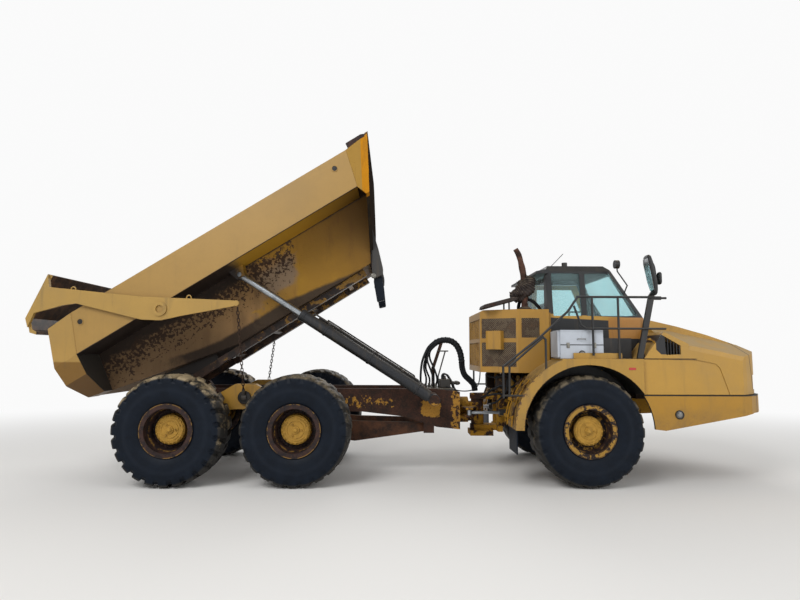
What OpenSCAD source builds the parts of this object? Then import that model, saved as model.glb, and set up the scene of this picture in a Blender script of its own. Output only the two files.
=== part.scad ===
// Articulated dump truck: front unit with cab and hood, steering pivot, rear unit on two
// axles, tipping body with a scissor tailgate. The body is tipped and the tailgate is open.
// X runs forward, Y to the truck's left, Z up from the ground.

/* [Chassis] */
// Front axle to middle axle
wheelbase = 4590; // [4400:10:4800]
// Middle axle to rear axle
bogie_base = 1966; // [1900:2:2050]
// Half of the track width
half_track = 1310; // [1290:5:1350]
// Front axle to the steering pivot
pivot_back = 1520; // [1500:5:1560]
// Radius of the steering pivot pins
king_r = 55; // [40:1:70]
// Radius of the roll tube behind the steering pivot
roll_r = 170; // [140:5:190]
// Height of the roll tube's axis
roll_z = 1050; // [1020:5:1080]
// Top of the rear frame rails
frame_top = 1453; // [1430:1:1460]
// Half width over the rear frame rails
frame_half = 550; // [520:5:570]
// Width of one rear frame rail
rail_w = 100; // [60:5:130]
// Half width over the front frame rails
front_half = 350; // [320:5:355]
// Width of one front frame rail
front_rail_w = 80; // [50:5:110]
// Bottom of the front frame rails
front_low = 1010; // [1005:5:1030]
// Top of the front frame rails
front_top = 1280; // [1240:5:1285]
// Running clearance on the radius of each pivot
run_gap = 0.3; // [0.2:0.1:0.6]

/* [Wheels] */
// Radius over the lugs
tyre_r = 868; // [850:1:880]
// Width of a tyre
tyre_w = 660; // [620:5:680]
// Depth of the lugs
lug_h = 30; // [15:1:45]
// Lugs on each half of the tread
lug_count = 18; // [12:1:22]
// Width of one lug
lug_w = 130; // [90:5:150]
// Radius of the rim where the bead sits
bead_r = 380; // [370:1:390]
// Radius of the hub's outer drum
hub_r = 232; // [200:2:260]
// Radius of the axle spindles
spindle_r = 110; // [90:2:125]

/* [Dump body] */
// Angle of the tipped body
body_tip = 32; // [10:1:60]
// Body pivot behind the rear axle
tip_back = 174; // [160:2:190]
// Height of the body pivot
tip_z = 1570; // [1560:2:1600]
// Radius of the body's pivot pin
tip_pin_r = 60; // [50:1:80]
// Radius of the boss round it on the frame
tip_boss_r = 112; // [100:1:125]
// Half width over the body's top rails
body_half = 1540; // [1500:5:1560]
// Thickness of the body's plates
plate = 40; // [25:5:50]
// Height of the body's top edge over its pivot
body_top = 1697; // [1600:5:1750]
// Height of the rails' underside over the pivot
body_rail_low = 1075; // [1060:5:1120]
// Height of the floor's underside over the pivot
floor_z = 20; // [10:1:30]
// Depth of the longitudinals under the floor
sill_h = 120; // [100:2:128]
// Half width of the floor
floor_half = 735; // [680:5:760]
// Half width of the lower hull under the rails
waist_half = 885; // [840:5:890]
// Where the floor starts to rise to the tail, ahead of the pivot
kick_x = 1171; // [1000:10:1300]
// Rise of the tail's floor per unit of length
kick_slope = 0.2; // [0.15:0.01:0.24]
// Top of the headboard over the pivot
head_top = 1830; // [1800:5:1900]
// Forward lean of the front wall per unit of height
head_lean = 0.564; // [0.5:0.004:0.6]

/* [Tailgate] */
// Angle that the tailgate has opened from the tail
gate_open = 26.6; // [0:0.2:40]
// Tailgate pivot ahead of the body's pivot
gate_x = 627; // [560:5:700]
// Tailgate pivot over the body's pivot
gate_z = 998; // [960:2:1010]
// Radius of the tailgate's pivot boss
gate_boss_r = 110; // [90:2:130]
// Thickness of the tailgate's arms
arm_t = 50; // [30:2:60]
// Thickness of the tailgate's plate
gate_plate = 45; // [30:5:60]
// Arm from its pivot to its front tip
arm_len = 1189; // [1100:1:1250]

/* [Hoists] */
// Hoist base pin behind the front axle
hoist_back = 2380; // [2340:5:2420]
// Height of the hoist base pin
hoist_z = 1300; // [1280:5:1330]
// Sideways place of the hoists
hoist_y = 1000; // [990:2:1010]
// Radius of the pins at the hoists' feet
hoist_pin_r = 50; // [40:1:60]
// Rod eye ahead of the body's pivot
eye_x = 1871; // [1800:1:1950]
// Rod eye over the body's pivot
eye_z = 960; // [940:1:985]
// Radius of the hoist barrels
hoist_r = 95; // [80:1:100]
// Radius of the hoist rods
rod_r = 55; // [45:1:62]
// Length of the hoist barrels from pin to gland
barrel_len = 2640; // [2600:5:2650]

/* [Steering] */
// Cylinder's front pin ahead of the steering pivot
steer_ax = 1300; // [1280:5:1330]
// Cylinder's front pin from the middle
steer_ay = 430; // [425:1:440]
// Rod eye behind the steering pivot
steer_bx = 220; // [200:2:240]
// Rod eye from the middle
steer_by = 560; // [540:2:580]
// Length of the steering barrels from pin to gland
steer_barrel_len = 1000; // [980:5:1010]
// Radius of the steering cylinders' front pins
steer_pin_r = 25; // [20:1:28]
// Radius of the steering barrels
steer_r = 55; // [45:1:60]
// Radius of the steering rods
steer_rod_r = 28; // [22:1:34]

/* [Cab and hood] */
// Half width of the cab
cab_half = 900; // [860:5:920]
// Height of the cab roof
cab_top = 3600; // [3500:10:3700]
// Thickness of the cab's walls
cab_wall = 60; // [40:5:70]
// Thickness of the glass
glass_t = 12; // [8:1:16]
// Half width of the hood and fenders
nose_half = 1555; // [1500:5:1570]
// Thickness of the hood's shell
skin = 40; // [25:5:50]
// Bottom of the hood
hood_low = 1440; // [1430:5:1460]
// Top of the fenders
deck_z = 1995; // [1980:5:2020]
// Radius of the arch over the front wheels
arch_r = 1030; // [1000:5:1040]
// Half width of the cooler housing
cooler_half = 1000; // [940:10:1020]
// Top of the cooler housing
cooler_top = 2820; // [2760:10:2860]
// Radius of the handrail tube
rail_r = 19; // [14:1:24]
// Hood's front behind the bumper's front
hood_set = 60; // [50:5:70]
// Gap between a door or lid and its frame
door_gap = 8; // [7:1:10]
// Radius of the hinge pins of the door and hood
pin_r = 10; // [8:1:12]
// Radius of the bores for the tow pins
tow_r = 26; // [20:1:30]

/* [Hidden] */
$fn = 48;

function turn(p, a) = [p[0] * cos(a) - p[1] * sin(a), p[0] * sin(a) + p[1] * cos(a)];

nose_front = 3040;
gate_rear = [-2090, 40];
gate_rear_x = -wheelbase - bogie_base - tip_back
    + turn([gate_x, gate_z] + turn(gate_rear, -gate_open), body_tip)[0];
front_axle_x = -(nose_front + gate_rear_x) / 2;
tip_x = -wheelbase - bogie_base - tip_back;
axle_z = tyre_r;
axle_x = [0, -wheelbase, -wheelbase - bogie_base];

// Parts of the chassis are drawn from the front axle, parts of the body from its pivot
module chassis() translate([front_axle_x, 0, 0]) children();
module on_body() chassis() translate([tip_x, 0, tip_z]) rotate([0, -body_tip, 0]) children();
module on_gate() on_body() translate([gate_x, 0, gate_z]) rotate([0, gate_open, 0]) children();
module both() { children(); mirror([0, 1, 0]) children(); }
// An outline in X and Z from y0 to y1, one in Y and Z from x0 to x1, one in X and Y from z0 to z1
module side(y0, y1) translate([0, y1, 0]) rotate([90, 0, 0]) linear_extrude(y1 - y0) children();
module cross(x0, x1) translate([x0, 0, 0]) rotate([90, 0, 90]) linear_extrude(x1 - x0) children();
module plan(z0, z1) translate([0, 0, z0]) linear_extrude(z1 - z0) children();
module block(a, b) translate(a) cube(b - a);
module rod_y(x, z, r, y0, y1) translate([x, y0, z]) rotate([-90, 0, 0]) cylinder(r = r, h = y1 - y0);
module rod_x(y, z, r, x0, x1) translate([x0, y, z]) rotate([0, 90, 0]) cylinder(r = r, h = x1 - x0);
module rod_z(x, y, r, z0, z1) translate([x, y, z0]) cylinder(r = r, h = z1 - z0);
// A round bar between two points
module bar(a, b, r) {
    d = b - a;
    l = norm(d);
    translate(a) rotate([0, acos(d[2] / l), atan2(d[1], d[0])]) cylinder(r = r, h = l);
}
// A bent tube through a list of points, with a ball at each bend
module tube(pts, r) {
    for (i = [0 : len(pts) - 2]) bar(pts[i], pts[i + 1], r);
    for (i = [1 : len(pts) - 2]) translate(pts[i]) sphere(r = r * 1.08, $fn = 24);
}
function mirrored(pts) = concat(pts, [for (i = [len(pts) - 1 : -1 : 0]) [-pts[i][0], pts[i][1]]]);

// Front unit

module front_frame() color("#4a3a2a") chassis() {
    both() side(front_half - front_rail_w, front_half)
        polygon([[-1180, front_low - 60], [-1180, front_top + 60], [-900, front_top],
            [2350, front_top], [2450, 1180], [2450, front_low + 60], [1200, front_low],
            [-800, front_low]]);
    for (x = [-900, 600, 1900])
        rod_y(x, (front_low + front_top) / 2, 70, -front_half + 40, front_half - 40);
    block([2400, -700, 1120], [2460, 700, 1240]);
    for (z = [[690, 790], [1245, 1345]]) {
        rod_z(-pivot_back, 0, 135, z[0], z[1]);
        block([-pivot_back, -135, z[0]], [-1150, 135, z[1]]);
        block([-1200, -front_half, z[0]], [-1120, front_half, z[1]]);
    }
    both() side(150, 210) polygon([[-1200, 690], [-1120, 690], [-900, front_low + 60],
        [-900, front_top], [-1200, 1345]]);
    rod_z(-pivot_back, 0, king_r, 740, 830);
    rod_z(-pivot_back, 0, king_r, 1200, 1300);
    both() for (z = [roll_z - 78, roll_z + 48])
        block([-pivot_back + steer_ax - 70, front_half, z],
            [-pivot_back + steer_ax + 70, steer_ay + 40, z + 30]);
    both() rod_z(-pivot_back + steer_ax, steer_ay, steer_pin_r, roll_z - 90, roll_z + 90);
    both() block([-pivot_back + steer_ax - 70, front_half - 10, roll_z - 78],
        [-pivot_back + steer_ax + 70, front_half + 15, roll_z + 78]);
    for (x = cab_posts) both()
        block([x, front_half - front_rail_w, front_top - 10], [x + 90, front_half, cab_low - run_gap]);
    both() block([-1130, front_half - front_rail_w, front_top - 10],
        [-1040, front_half, housing_low - run_gap]);
    // Guard under the pivot
    block([-pivot_back - 150, -200, belly_low], [-pivot_back + 260, 200, 692]);
}
cab_posts = [-360, 600];
belly_low = 600;

module front_axle() color("#5a4a2c") chassis() {
    rod_y(0, axle_z, 130, -960, 960);
    sphere_at([0, 0, axle_z], 215);
    rod_y(0, axle_z, spindle_r, -half_track + 80, half_track - 80);
    both() rod_y(0, axle_z, 190, 900, 975);
    both() rod_z(0, 640, 60, axle_z + 60, 1420);
    both() rod_z(0, 640, 80, 1180, 1460);
    both() block([-70, front_half, 1180], [70, 640, 1240]);
}
module sphere_at(p, r) translate(p) sphere(r = r, $fn = 32);

module engine_block() color("#6b6b66") chassis() {
    block([cab_front + 40, -front_half - 50, front_top], [2200, front_half + 50, 2050]);
    // Cooler cores behind the housing's mesh
    plan(housing_low + skin + run_gap, cooler_top - 100) difference() {
        housing_area(80);
        housing_area(120);
    }
}

// Mudguard over each front wheel: arch liner and deck, with an outer skirt
arch_step = 150;
fender_low = axle_z + 20;
module fender_area(g) intersection() {
    union() {
        translate([0, axle_z]) circle(r = arch_r + arch_step - g, $fn = 96);
        polygon([[-420 + g, axle_z], [-420 + g, deck_z], [870, deck_z], [870, axle_z]]);
    }
    polygon([[-1160 + g, fender_low], [-1160 + g, deck_z - g], [860 - g, deck_z - g], [860 - g, fender_low]]);
}
module fenders() color("#d9a92a") {
    wheel_arches();
    deck_kerb();
}
module wheel_arches() chassis() both() {
    side(cooler_half + run_gap, nose_half + 20) difference() {
        fender_area(0);
        translate([0, axle_z]) circle(r = arch_r, $fn = 96);
        difference() {
            fender_area(skin);
            translate([0, axle_z]) circle(r = arch_r + skin, $fn = 96);
        }
    }
    side(nose_half + 20, nose_half + 60) difference() {
        fender_area(0);
        translate([0, axle_z]) circle(r = arch_r, $fn = 96);
    }
}

// Kerb on the right deck
module deck_kerb() chassis() mirror([0, 1, 0])
    block([-224, nose_half - 10, deck_z - 5], [540, nose_half + 17, 2085]);

module mudflaps() color("#262626") chassis() both()
    block([-1150, 1030, 520], [-1130, nose_half + 20, fender_low - run_gap]);

function flip(pts) = concat(pts, [for (i = [len(pts) - 1 : -1 : 0]) [pts[i][0], -pts[i][1]]]);

// Outline of the nose seen from above, grown outward by g, its front set back
module nose(g, back) polygon(flip([for (p = [[0, 0], [20, 700], [105, nose_half - 405], [260, nose_half - 195],
    [440, nose_half - 55]]) [nose_front - back - p[0] + g, p[1] + (p[0] > 100 ? g : 0)],
    [2450, nose_half + g], [860, nose_half + g]]));

bumper_top = hood_low - 10;
hinge = [nose_front - hood_set + 16, bumper_top + pin_r + 7];
tow_front = [nose_front - 60, 1090];
module bumper() color("#d0a028") chassis() difference() {
    union() {
        difference() {
            intersection() {
                plan(880, bumper_top) nose(0, 0);
                side(-2000, 2000) polygon([[870, bumper_top], [1030, 900], [1196, 881], [2667, 1150],
                    [3100, 1150], [3100, bumper_top]]);
            }
            intersection() {
                plan(800, 1500) nose(-skin, 0);
                side(-2000, 2000) polygon([[800, 1500], [800, 800], [2460, 800], [2460, 1500]]);
            }
            translate([0, 0, axle_z]) side(-2000, 2000) circle(r = arch_r, $fn = 96);
            block([tow_front[0] - 120, -110, tow_front[1] + 70], [3100, 110, tow_front[1] + 250]);
        }
        both() for (y = hinge_places) for (e = [y - 30, y + 60 + run_gap]) {
            rod_y(hinge[0], hinge[1], pin_r + 6, e, e + 30 - run_gap);
            block([hinge[0] - 14, e, bumper_top - 10], [hinge[0] + 14, e + 30 - run_gap, hinge[1]]);
        }
        both() for (y = hinge_places) rod_y(hinge[0], hinge[1], pin_r, y - 10, y + 70);
        for (z = [tow_front[1] - 70, tow_front[1] + 30])
            block([2500, -90, z], [nose_front - 20, 90, z + 40]);
        block([2500, -90, tow_front[1] - 70], [2700, 90, 1170]);
    }
    rod_z(tow_front[0] - 40, 0, tow_r, 1000, tow_front[1] + 71);
    both() rod_y(side_lamp[0], side_lamp[1], side_lamp_r, nose_half - 14, nose_half + 10);
}
side_lamp = [1415, 1128];
side_lamp_r = 62;
hinge_places = [430, 700];

// Hood: side, cross and plan outlines cut from each other, then hollowed
hood_rear = 880;
grille_half = 900;
grille_z = [1500, 2030];
crest_half = 970;
hood_tilt = 11.4;
shoulder = [1606, 2233];
louvre = [[1215, 2360], [1480, 2205], [1480, 2070], [1250, 2055]];
lamp_y = [nose_half - 495, nose_half - 225];
lamp_z = [1500, 1740];
module hood_form(g) {
    low = hood_low - (g < 0 ? 100 : 0);
    intersection() {
        union() {
            side(-crest_half - g, crest_half + g) square([3200, 3000]);
            side(-2000, 2000) polygon([[800, low], [800, 3000], [1218, 2425 + g], shoulder + [0, g], [shoulder[0], low]]);
            translate([shoulder[0], 0, shoulder[1]]) rotate([0, hood_tilt, 0]) cross(-1200, 1600)
                polygon(mirrored([[nose_half + g, -1600], [nose_half + g, -90 + g], [nose_half - 25 + g, -20 + g],
                    [nose_half - 65 + g, 8 + g], [1000, 215 + g]]));
        }
        side(-2000, 2000) polygon([[hood_rear, low], [hood_rear, 1985], [1218 - g, 2425 + g],
            [1218 - g, 2600 + g], [1296, 2636 + g], [1736, 2535 + g], [2231, 2396 + g], [2700 + g, 2235 + g],
            [2860 + g, 2100], [nose_front - hood_set - 35 + g, 1980], [nose_front - hood_set + g, 1700],
            [nose_front - hood_set + g, low]]);
        plan(low, 2800) nose(g, hood_set);
    }
}
module hood() color("#dba62c") chassis() {
    difference() {
        hood_form(0);
        translate([-skin, 0, -skin]) hood_form(-skin);
        block([2500, -grille_half, grille_z[0]], [3200, grille_half, grille_z[1]]);
        block([800, -cab_half - 12, 1300], [cab_front + 12, cab_half + 12, 2700]);
        both() side(1250, 1700) polygon(louvre);
        both() block([2500, lamp_y[0], lamp_z[0]], [3200, lamp_y[1], lamp_z[1]]);
        // Groove round the side panel
        both() side(nose_half - 10, nose_half + 10) polygon([[870, 2004], [1730, 1982], [2025, 1922], [2096, 1848],
            [2232, 1430], [2216, 1430], [2080, 1840], [2013, 1906], [1726, 1966], [870, 1988]]);
    }
    both() intersection() {
        for (x = [1230 : 46 : 1470]) block([x, nose_half - 34, 2040], [x + 12, nose_half - 12, 2380]);
        side(1250, 1700) offset(delta = 6) polygon(louvre);
    }
    both() for (y = hinge_places) difference() {
        union() {
            rod_y(hinge[0], hinge[1], pin_r + 6, y, y + 60);
            block([hinge[0] - 50, y, hinge[1]], [hinge[0], y + 60, hinge[1] + 24]);
        }
        rod_y(hinge[0], hinge[1], pin_r + run_gap, y - 1, y + 61);
    }
}

module front_grille() color("#2b2b2b") chassis() {
    y = grille_half - run_gap;
    difference() {
        block([2850, -y, grille_z[0] + run_gap], [2925, y, grille_z[1] - run_gap]);
        block([2800, -y + 55, grille_z[0] + 50], [3100, y - 55, grille_z[1] - 50]);
    }
    for (z = [grille_z[0] + 100 : 62 : grille_z[1] - 80]) block([2865, -y + 45, z], [2920, y - 45, z + 22]);
    for (x = [-430, 0, 430]) block([2855, x - 12, grille_z[0] + 30], [2875, x + 12, grille_z[1] - 30]);
    both() intersection() {
        plan(lamp_z[0] + run_gap, lamp_z[1] - run_gap) difference() {
            nose(-12, hood_set);
            nose(-110, hood_set);
        }
        block([2500, lamp_y[0] + run_gap, lamp_z[0]], [3200, lamp_y[1] - run_gap, lamp_z[1]]);
    }
}

// Cab

cab_low = 1800;
cab_front = 1206;
module cab_side(g) polygon([[-430 + g, cab_low + g], [-430 + g, 3480 - g], [-380 + g, cab_top - g],
    [600 - g, cab_top - g], [700 - g, 3530 - g], [cab_front - g, 2680], [cab_front - g, cab_low + g]]);
module cab_cross(g) polygon(mirrored([[cab_half - g, cab_low + g], [cab_half - g, 2650],
    [780 - g, 3500], [730 - g, cab_top - g]]));
module cab_form(g) intersection() {
    side(-1000, 1000) cab_side(g);
    cross(-600, 1400) cab_cross(g);
}
window_low = 2715;
window_high = 3460;
// Side windows: rear pane and front pane
side_panes = [[-330, 160], [250, 1100]];
door_low = 2012;
door_hinge = [-268, cab_half + 20];
door_hinges = [2080, 2540];
module side_openings(g) {
    side(-1200, 0) for (p = side_panes) pane_outline(p[0], p[1], g);
    block([500, -730 + g, 2740 + g], [1400, 730 - g, 3440 - g]);
    block([-600, -680 + g, 2800 + g], [-300, 680 - g, 3430 - g]);
}
module cab_shell() color("#2e2e2e") {
    chassis() cab_form_cut();
    cab_extras();
}
module cab_form_cut() {
    difference() {
        cab_form(0);
        cab_form(cab_wall);
        side_openings(0);
        side(0, 1200) door_outline(door_gap);
    }
    side(-1000, 1000) polygon([[-500, 3500], [-640, 3470], [-640, 3430], [-425, 3430], [-425, 3500]]);
    for (z = door_hinges) {
        block([-340, cab_half - 5, z], [-274, cab_half + 34, z + 28]);
        block([-340, cab_half + 8, z], [door_hinge[0] + pin_r + 6, cab_half + 34, z + 28]);
        rod_z(door_hinge[0], door_hinge[1], pin_r, z, z + 90);
    }
}
// Box beside the cab on the right, beacon, antenna and a small mirror on its bracket
deck_box = [[390, -1180, deck_z + run_gap], [860, -880, 2330]];
module cab_extras() color("#2e2e2e") chassis() {
    block(deck_box[0], deck_box[1]);
    rod_z(0, -500, 62, cab_top - 10, cab_top + 28);
    rod_z(0, -500, 48, cab_top, cab_top + 95);
    bar([-290, -500, cab_top - 20], [-19, -500, 3858], 6);
    tube([[905, -835, 3110], [880, -940, 3120], [905, -1000, 3230], [745, -1000, 3470]], 11);
    rod_x(-1000, 3590, 72, 700, 770);
    bar([745, -1000, 3465], [735, -1000, 3590], 11);
}
module pane_outline(x0, x1, g) intersection() {
    polygon([[x0 + g, window_low + g], [x1 - g, window_low + g], [x1 - g, window_high - g],
        [x0 + g, window_high - g]]);
    polygon([[-600, 0], [1120 - g, 0], [1120 - g, 2715], [650 - g, 3500], [650 - g, 4000], [-600, 4000]]);
}
// Door leaf grown by g, and the window in it
module door_outline(g) polygon([[-260 - g, door_low - g], [730 + g, door_low - g], [905 + g, 2715],
    [620 + g, 3440 + g], [-260 - g, 3440 + g]]);
module cab_glass() color("#7fa3a5", 0.5) chassis() intersection() {
    difference() { cab_form(20); cab_form(20 + glass_t); }
    side_openings(run_gap);
}
module cab_door() color("#d9a92a") chassis() {
    difference() {
        intersection() {
            difference() { cab_form(0); cab_form(cab_wall - 10); }
            side(300, 1200) door_outline(0);
        }
        side(0, 1200) door_outline(-90);
    }
    for (z = door_hinges) difference() {
        union() {
            rod_z(door_hinge[0], door_hinge[1], pin_r + 6, z + 28 + run_gap, z + 88);
            block([door_hinge[0], cab_half, z + 36], [-120, door_hinge[1] + 6, z + 80]);
            block([-240, cab_half - 20, z + 36], [-120, cab_half + 5, z + 80]);
        }
        rod_z(door_hinge[0], door_hinge[1], pin_r + run_gap, z, z + 100);
    }
}
module door_glass() color("#7fa3a5", 0.5) chassis() intersection() {
    difference() { cab_form(20); cab_form(20 + glass_t); }
    side(300, 1200) door_outline(-90 - run_gap);
}
module cab_seat() color("#3a3a3a") chassis() {
    low = cab_low + cab_wall + run_gap;
    block([-150, -250, 2260], [330, 250, 2400]);
    side(-240, 240) polygon([[-190, 2380], [-60, 2380], [-180, 3000], [-280, 3000]]);
    block([-60, -160, low], [240, 160, 2260]);
    block([560, -420, low], [780, 420, 2400]);
    bar([640, 0, 2380], [520, 0, 2660], 30);
    translate([515, 0, 2665]) rotate([0, -35, 0]) rotate_extrude() translate([190, 0]) circle(r = 16, $fn = 16);
    translate([515, 0, 2665]) rotate([0, -35, 0]) block([-12, -190, -10], [12, 190, 10]);
}

// Cooler housing behind the cab, with mesh openings in its sides, slanted corners and back
housing_low = 1750;
housing_rear = -1560;
corner = [-973, 690];
corner_len = norm([corner[0] - housing_rear, cooler_half - corner[1]]);
corner_angle = 180 + atan2(cooler_half - corner[1], corner[0] - housing_rear);
mesh_z = [[1850, 2260], [2330, 2670]];
module housing_area(g) polygon(flip([[-440 - g, cooler_half - g], [corner[0] + g / 4, cooler_half - g],
    [housing_rear + g, corner[1] - g / 2]]));
// Along the slanted corner from its front edge, with Y inward
module on_corner() translate([corner[0], cooler_half, 0]) rotate([0, 0, corner_angle]) children();
module cooler_housing() color("#d9a92a") chassis() {
    difference() {
        plan(housing_low, cooler_top) housing_area(0);
        plan(housing_low + skin, cooler_top - skin) housing_area(skin);
        for (z = mesh_z) {
            both() on_corner() block([30, -60, z[0]], [corner_len - 30, 80, z[1]]);
            block([housing_rear - 100, -620, z[0]], [housing_rear + 60, 620, z[1]]);
        }
        both() block([-906, cooler_half - 100, 2340], [-603, cooler_half + 100, 2670]);
        side(-1100, 1100) polygon([[-1700, 2700], [-1700, 2900], [-1380, 2900]]);
    }
    for (z = mesh_z) {
        both() on_corner() for (x = [44 : 44 : corner_len - 50]) block([x, 12, z[0] - 5], [x + 12, 28, z[1] + 5]);
        for (y = [-612 : 44 : 620]) block([housing_rear + 12, y, z[0] - 5], [housing_rear + 28, y + 12, z[1] + 5]);
    }
    both() for (x = [-890 : 44 : -610])
        block([x, cooler_half - 28, 2335], [x + 12, cooler_half - 12, 2675]);
    mirror([0, 1, 0]) on_corner() plan(2140, 2455)
        polygon([[244, 12], [262, -120], [300, -130], [482, -130], [520, -120], [538, 12]]);
}

exhaust = [-780, -720];
module exhaust_stack() color("#5a3b28") chassis() {
    rod_z(exhaust[0], exhaust[1], 62, cooler_top, 3430);
    tube([[exhaust[0], exhaust[1], 3420], [-815, exhaust[1], 3565], [-864, exhaust[1], 3778], [-924, exhaust[1], 3900]], 56);
    // Heat shield round the stack, and the bent cover that slopes up to it
    translate([exhaust[0] - 30, exhaust[1], 3020]) rotate([0, 0, 150]) rotate_extrude(angle = 240)
        translate([150, 0]) square([10, 400]);
    for (z = [3080, 3360]) block([exhaust[0] - 185, exhaust[1] - 15, z], [exhaust[0], exhaust[1] + 15, z + 20]);
    side(-980, -460) polygon([[-1540, 2846], [-1039, 3000], [-690, 3120], [-690, 3100], [-1039, 2978], [-1540, 2824]]);
    for (y = [-940, -500]) rod_z(-1100, y, 14, cooler_top, 2970);
}

rail_y = nose_half + 40;
rail_top = 2970;
rail_mid = 2470;
mirror_r = 24;
module handrails() color("#d9a92a") chassis() {
    difference() {
        union() {
            mirror([0, 1, 0]) {
                tube([[-1345, rail_y, 1380], [-1345, rail_y, 1870], [-746, rail_y, 2340], [-308, rail_y, 2740],
                    [-150, rail_y, rail_top], [1050, rail_y, rail_top]], rail_r);
                tube([[-1255, rail_y, 1400], [-1246, rail_y, 1871], [-710, rail_y, 2330], [-671, rail_y, 2290],
                    [-671, rail_y, 1700]], rail_r - 1);
                tube([[-212, rail_y, 2829], [-106, rail_y, 2524], [-29, rail_y, rail_mid], [1238, rail_y, rail_mid]], rail_r - 2);
                for (x = [80, 490]) rod_z(x, rail_y, rail_r - 1, deck_z, rail_top);
            }
            tube([[-1345, rail_y, 1380], [-1345, rail_y, 1870], [-746, rail_y, 2340], [-370, rail_y, 2680],
                [-370, rail_y, deck_z]], rail_r);
            tube([[735, rail_y, deck_z], [735, rail_y, rail_top], [1050, rail_y, rail_top]], rail_r);
            bar([735, rail_y, rail_mid], [1050, rail_y, rail_mid], rail_r - 1);
            both() bar([-1345, rail_y, 1420], [-900, rail_y, 1420], rail_r - 3);
        }
        rod_y(0, axle_z, arch_r + arch_step + run_gap, -2000, 2000, $fn = 96);
    }
}

module mirrors() color("#2a2a2a") chassis() both() {
    y = rail_y - rail_r - mirror_r - run_gap;
    side(y - mirror_r, y + mirror_r) polygon([[778, deck_z], [868, deck_z], [1092, 3000], [1092, 3300],
        [1000, 3300], [1000, 3000]]);
    side(y - 20, y + 200) polygon([[912, 3636], [1044, 3636], [1185, 3540], [1162, 3016], [1065, 2995],
        [989, 3087], [919, 3328]]);
    rod_x(y, 2960, 30, 1060, 1200);
    rod_x(y, 2960, 18, 1200, 1285);
}

module tool_box() color("#e4e4e0") chassis() {
    block([-420, -nose_half + 20, deck_z], [262, -1120, 2448]);
    block([-460, -nose_half + 40, deck_z + 20], [-419, -1140, 2430]);
}

// Steering: the hitch casting turns on two king pins, its tube lets the rear frame roll
module hitch_casting() color("#4a3a2a") chassis() difference() {
    union() {
        rod_z(-pivot_back, 0, 115, 800, 1235);
        block([-1860, -150, 860], [-pivot_back, 150, 1190]);
        rod_x(0, roll_z, roll_r + 60, -1860, -1700);
        rod_x(0, roll_z, roll_r, -2220, -1700);
        both() for (z = [roll_z - 78, roll_z + 48]) plan(z, z + 30)
            polygon([[-1850, 0], [-1560, 0], [-1560, 200], [-pivot_back - steer_bx + 60, steer_by + 20],
                [-pivot_back - steer_bx, steer_by + 60], [-pivot_back - steer_bx - 60, steer_by + 20],
                [-1850, 300]]);
    }
    rod_z(-pivot_back, 0, king_r + run_gap, 700, 831);
    rod_z(-pivot_back, 0, king_r + run_gap, 1199, 1400);
}
steer_rest = norm([steer_ax + steer_bx, steer_by - steer_ay]);
steer_angle = atan2(steer_by - steer_ay, steer_ax + steer_bx);
module steer_place(s) chassis() translate([-pivot_back + steer_ax, s * steer_ay, roll_z])
    rotate([0, 0, 180 - s * steer_angle]) children();
module steer_barrel(s) color("#303030") steer_place(s) {
    difference() {
        union() {
            rod_x(0, 0, steer_r, 100, steer_barrel_len);
            block([0, -35, -42], [120, 35, 42]);
            rod_z(0, 0, 55, -42, 42);
        }
        rod_x(0, 0, steer_rod_r + run_gap, 130, steer_barrel_len + 10);
        rod_z(0, 0, steer_pin_r + run_gap, -50, 50);
    }
}
module steer_rod(s) color("#b8b8b8") steer_place(s) {
    rod_x(0, 0, steer_rod_r, 560, steer_rest - 30);
    rod_z(steer_rest, 0, 48, -42, 42);
}
module steer_barrel_left() steer_barrel(1);
module steer_barrel_right() steer_barrel(-1);
module steer_rod_left() steer_rod(1);
module steer_rod_right() steer_rod(-1);

// Rear frame
beam_x = (axle_x[1] + axle_x[2]) / 2;
beam_z = 1320;
beam_pin_r = 60;
sill_in = 130;
hose_foot = 1480;
// Rear frame: two plate rails, the roll bearing's carrier between them, cross tubes and pins
module rear_rails() both() difference() {
    union() {
        side(frame_half - rail_w, frame_half) union() {
            polygon([[-1900, 760], [-1900, 1400], [-2300, frame_top], [tip_x + 200, frame_top],
                [tip_x + 100, tip_z], [tip_x - 105, tip_z - 40], [tip_x - 60, 1200],
                [tip_x + 300, 1090], [-3600, 1060], [-2900, 980], [-2300, 800]]);
            translate([tip_x, tip_z]) circle(r = tip_boss_r);
        }
        rod_y(-hoist_back, hoist_z, 100, frame_half - 10, hoist_y - 66);
        block([beam_x - 80, frame_half - 20, 1180], [beam_x + 80, frame_half + 60, 1420]);
        block([draft_x - 90, frame_half - rail_w, draft_z - 90], [draft_x + 90, frame_half - 5, 900]);
    }
    rod_y(-hoist_back, hoist_z, hoist_pin_r + run_gap, frame_half - rail_w - 1, hoist_y);
    rod_y(beam_x, beam_z, beam_pin_r + run_gap, frame_half - rail_w - 1, frame_half + 61);
    rod_y(tip_x, tip_z, tip_pin_r + run_gap, frame_half - rail_w - 1, frame_half + 1);
}
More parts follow.
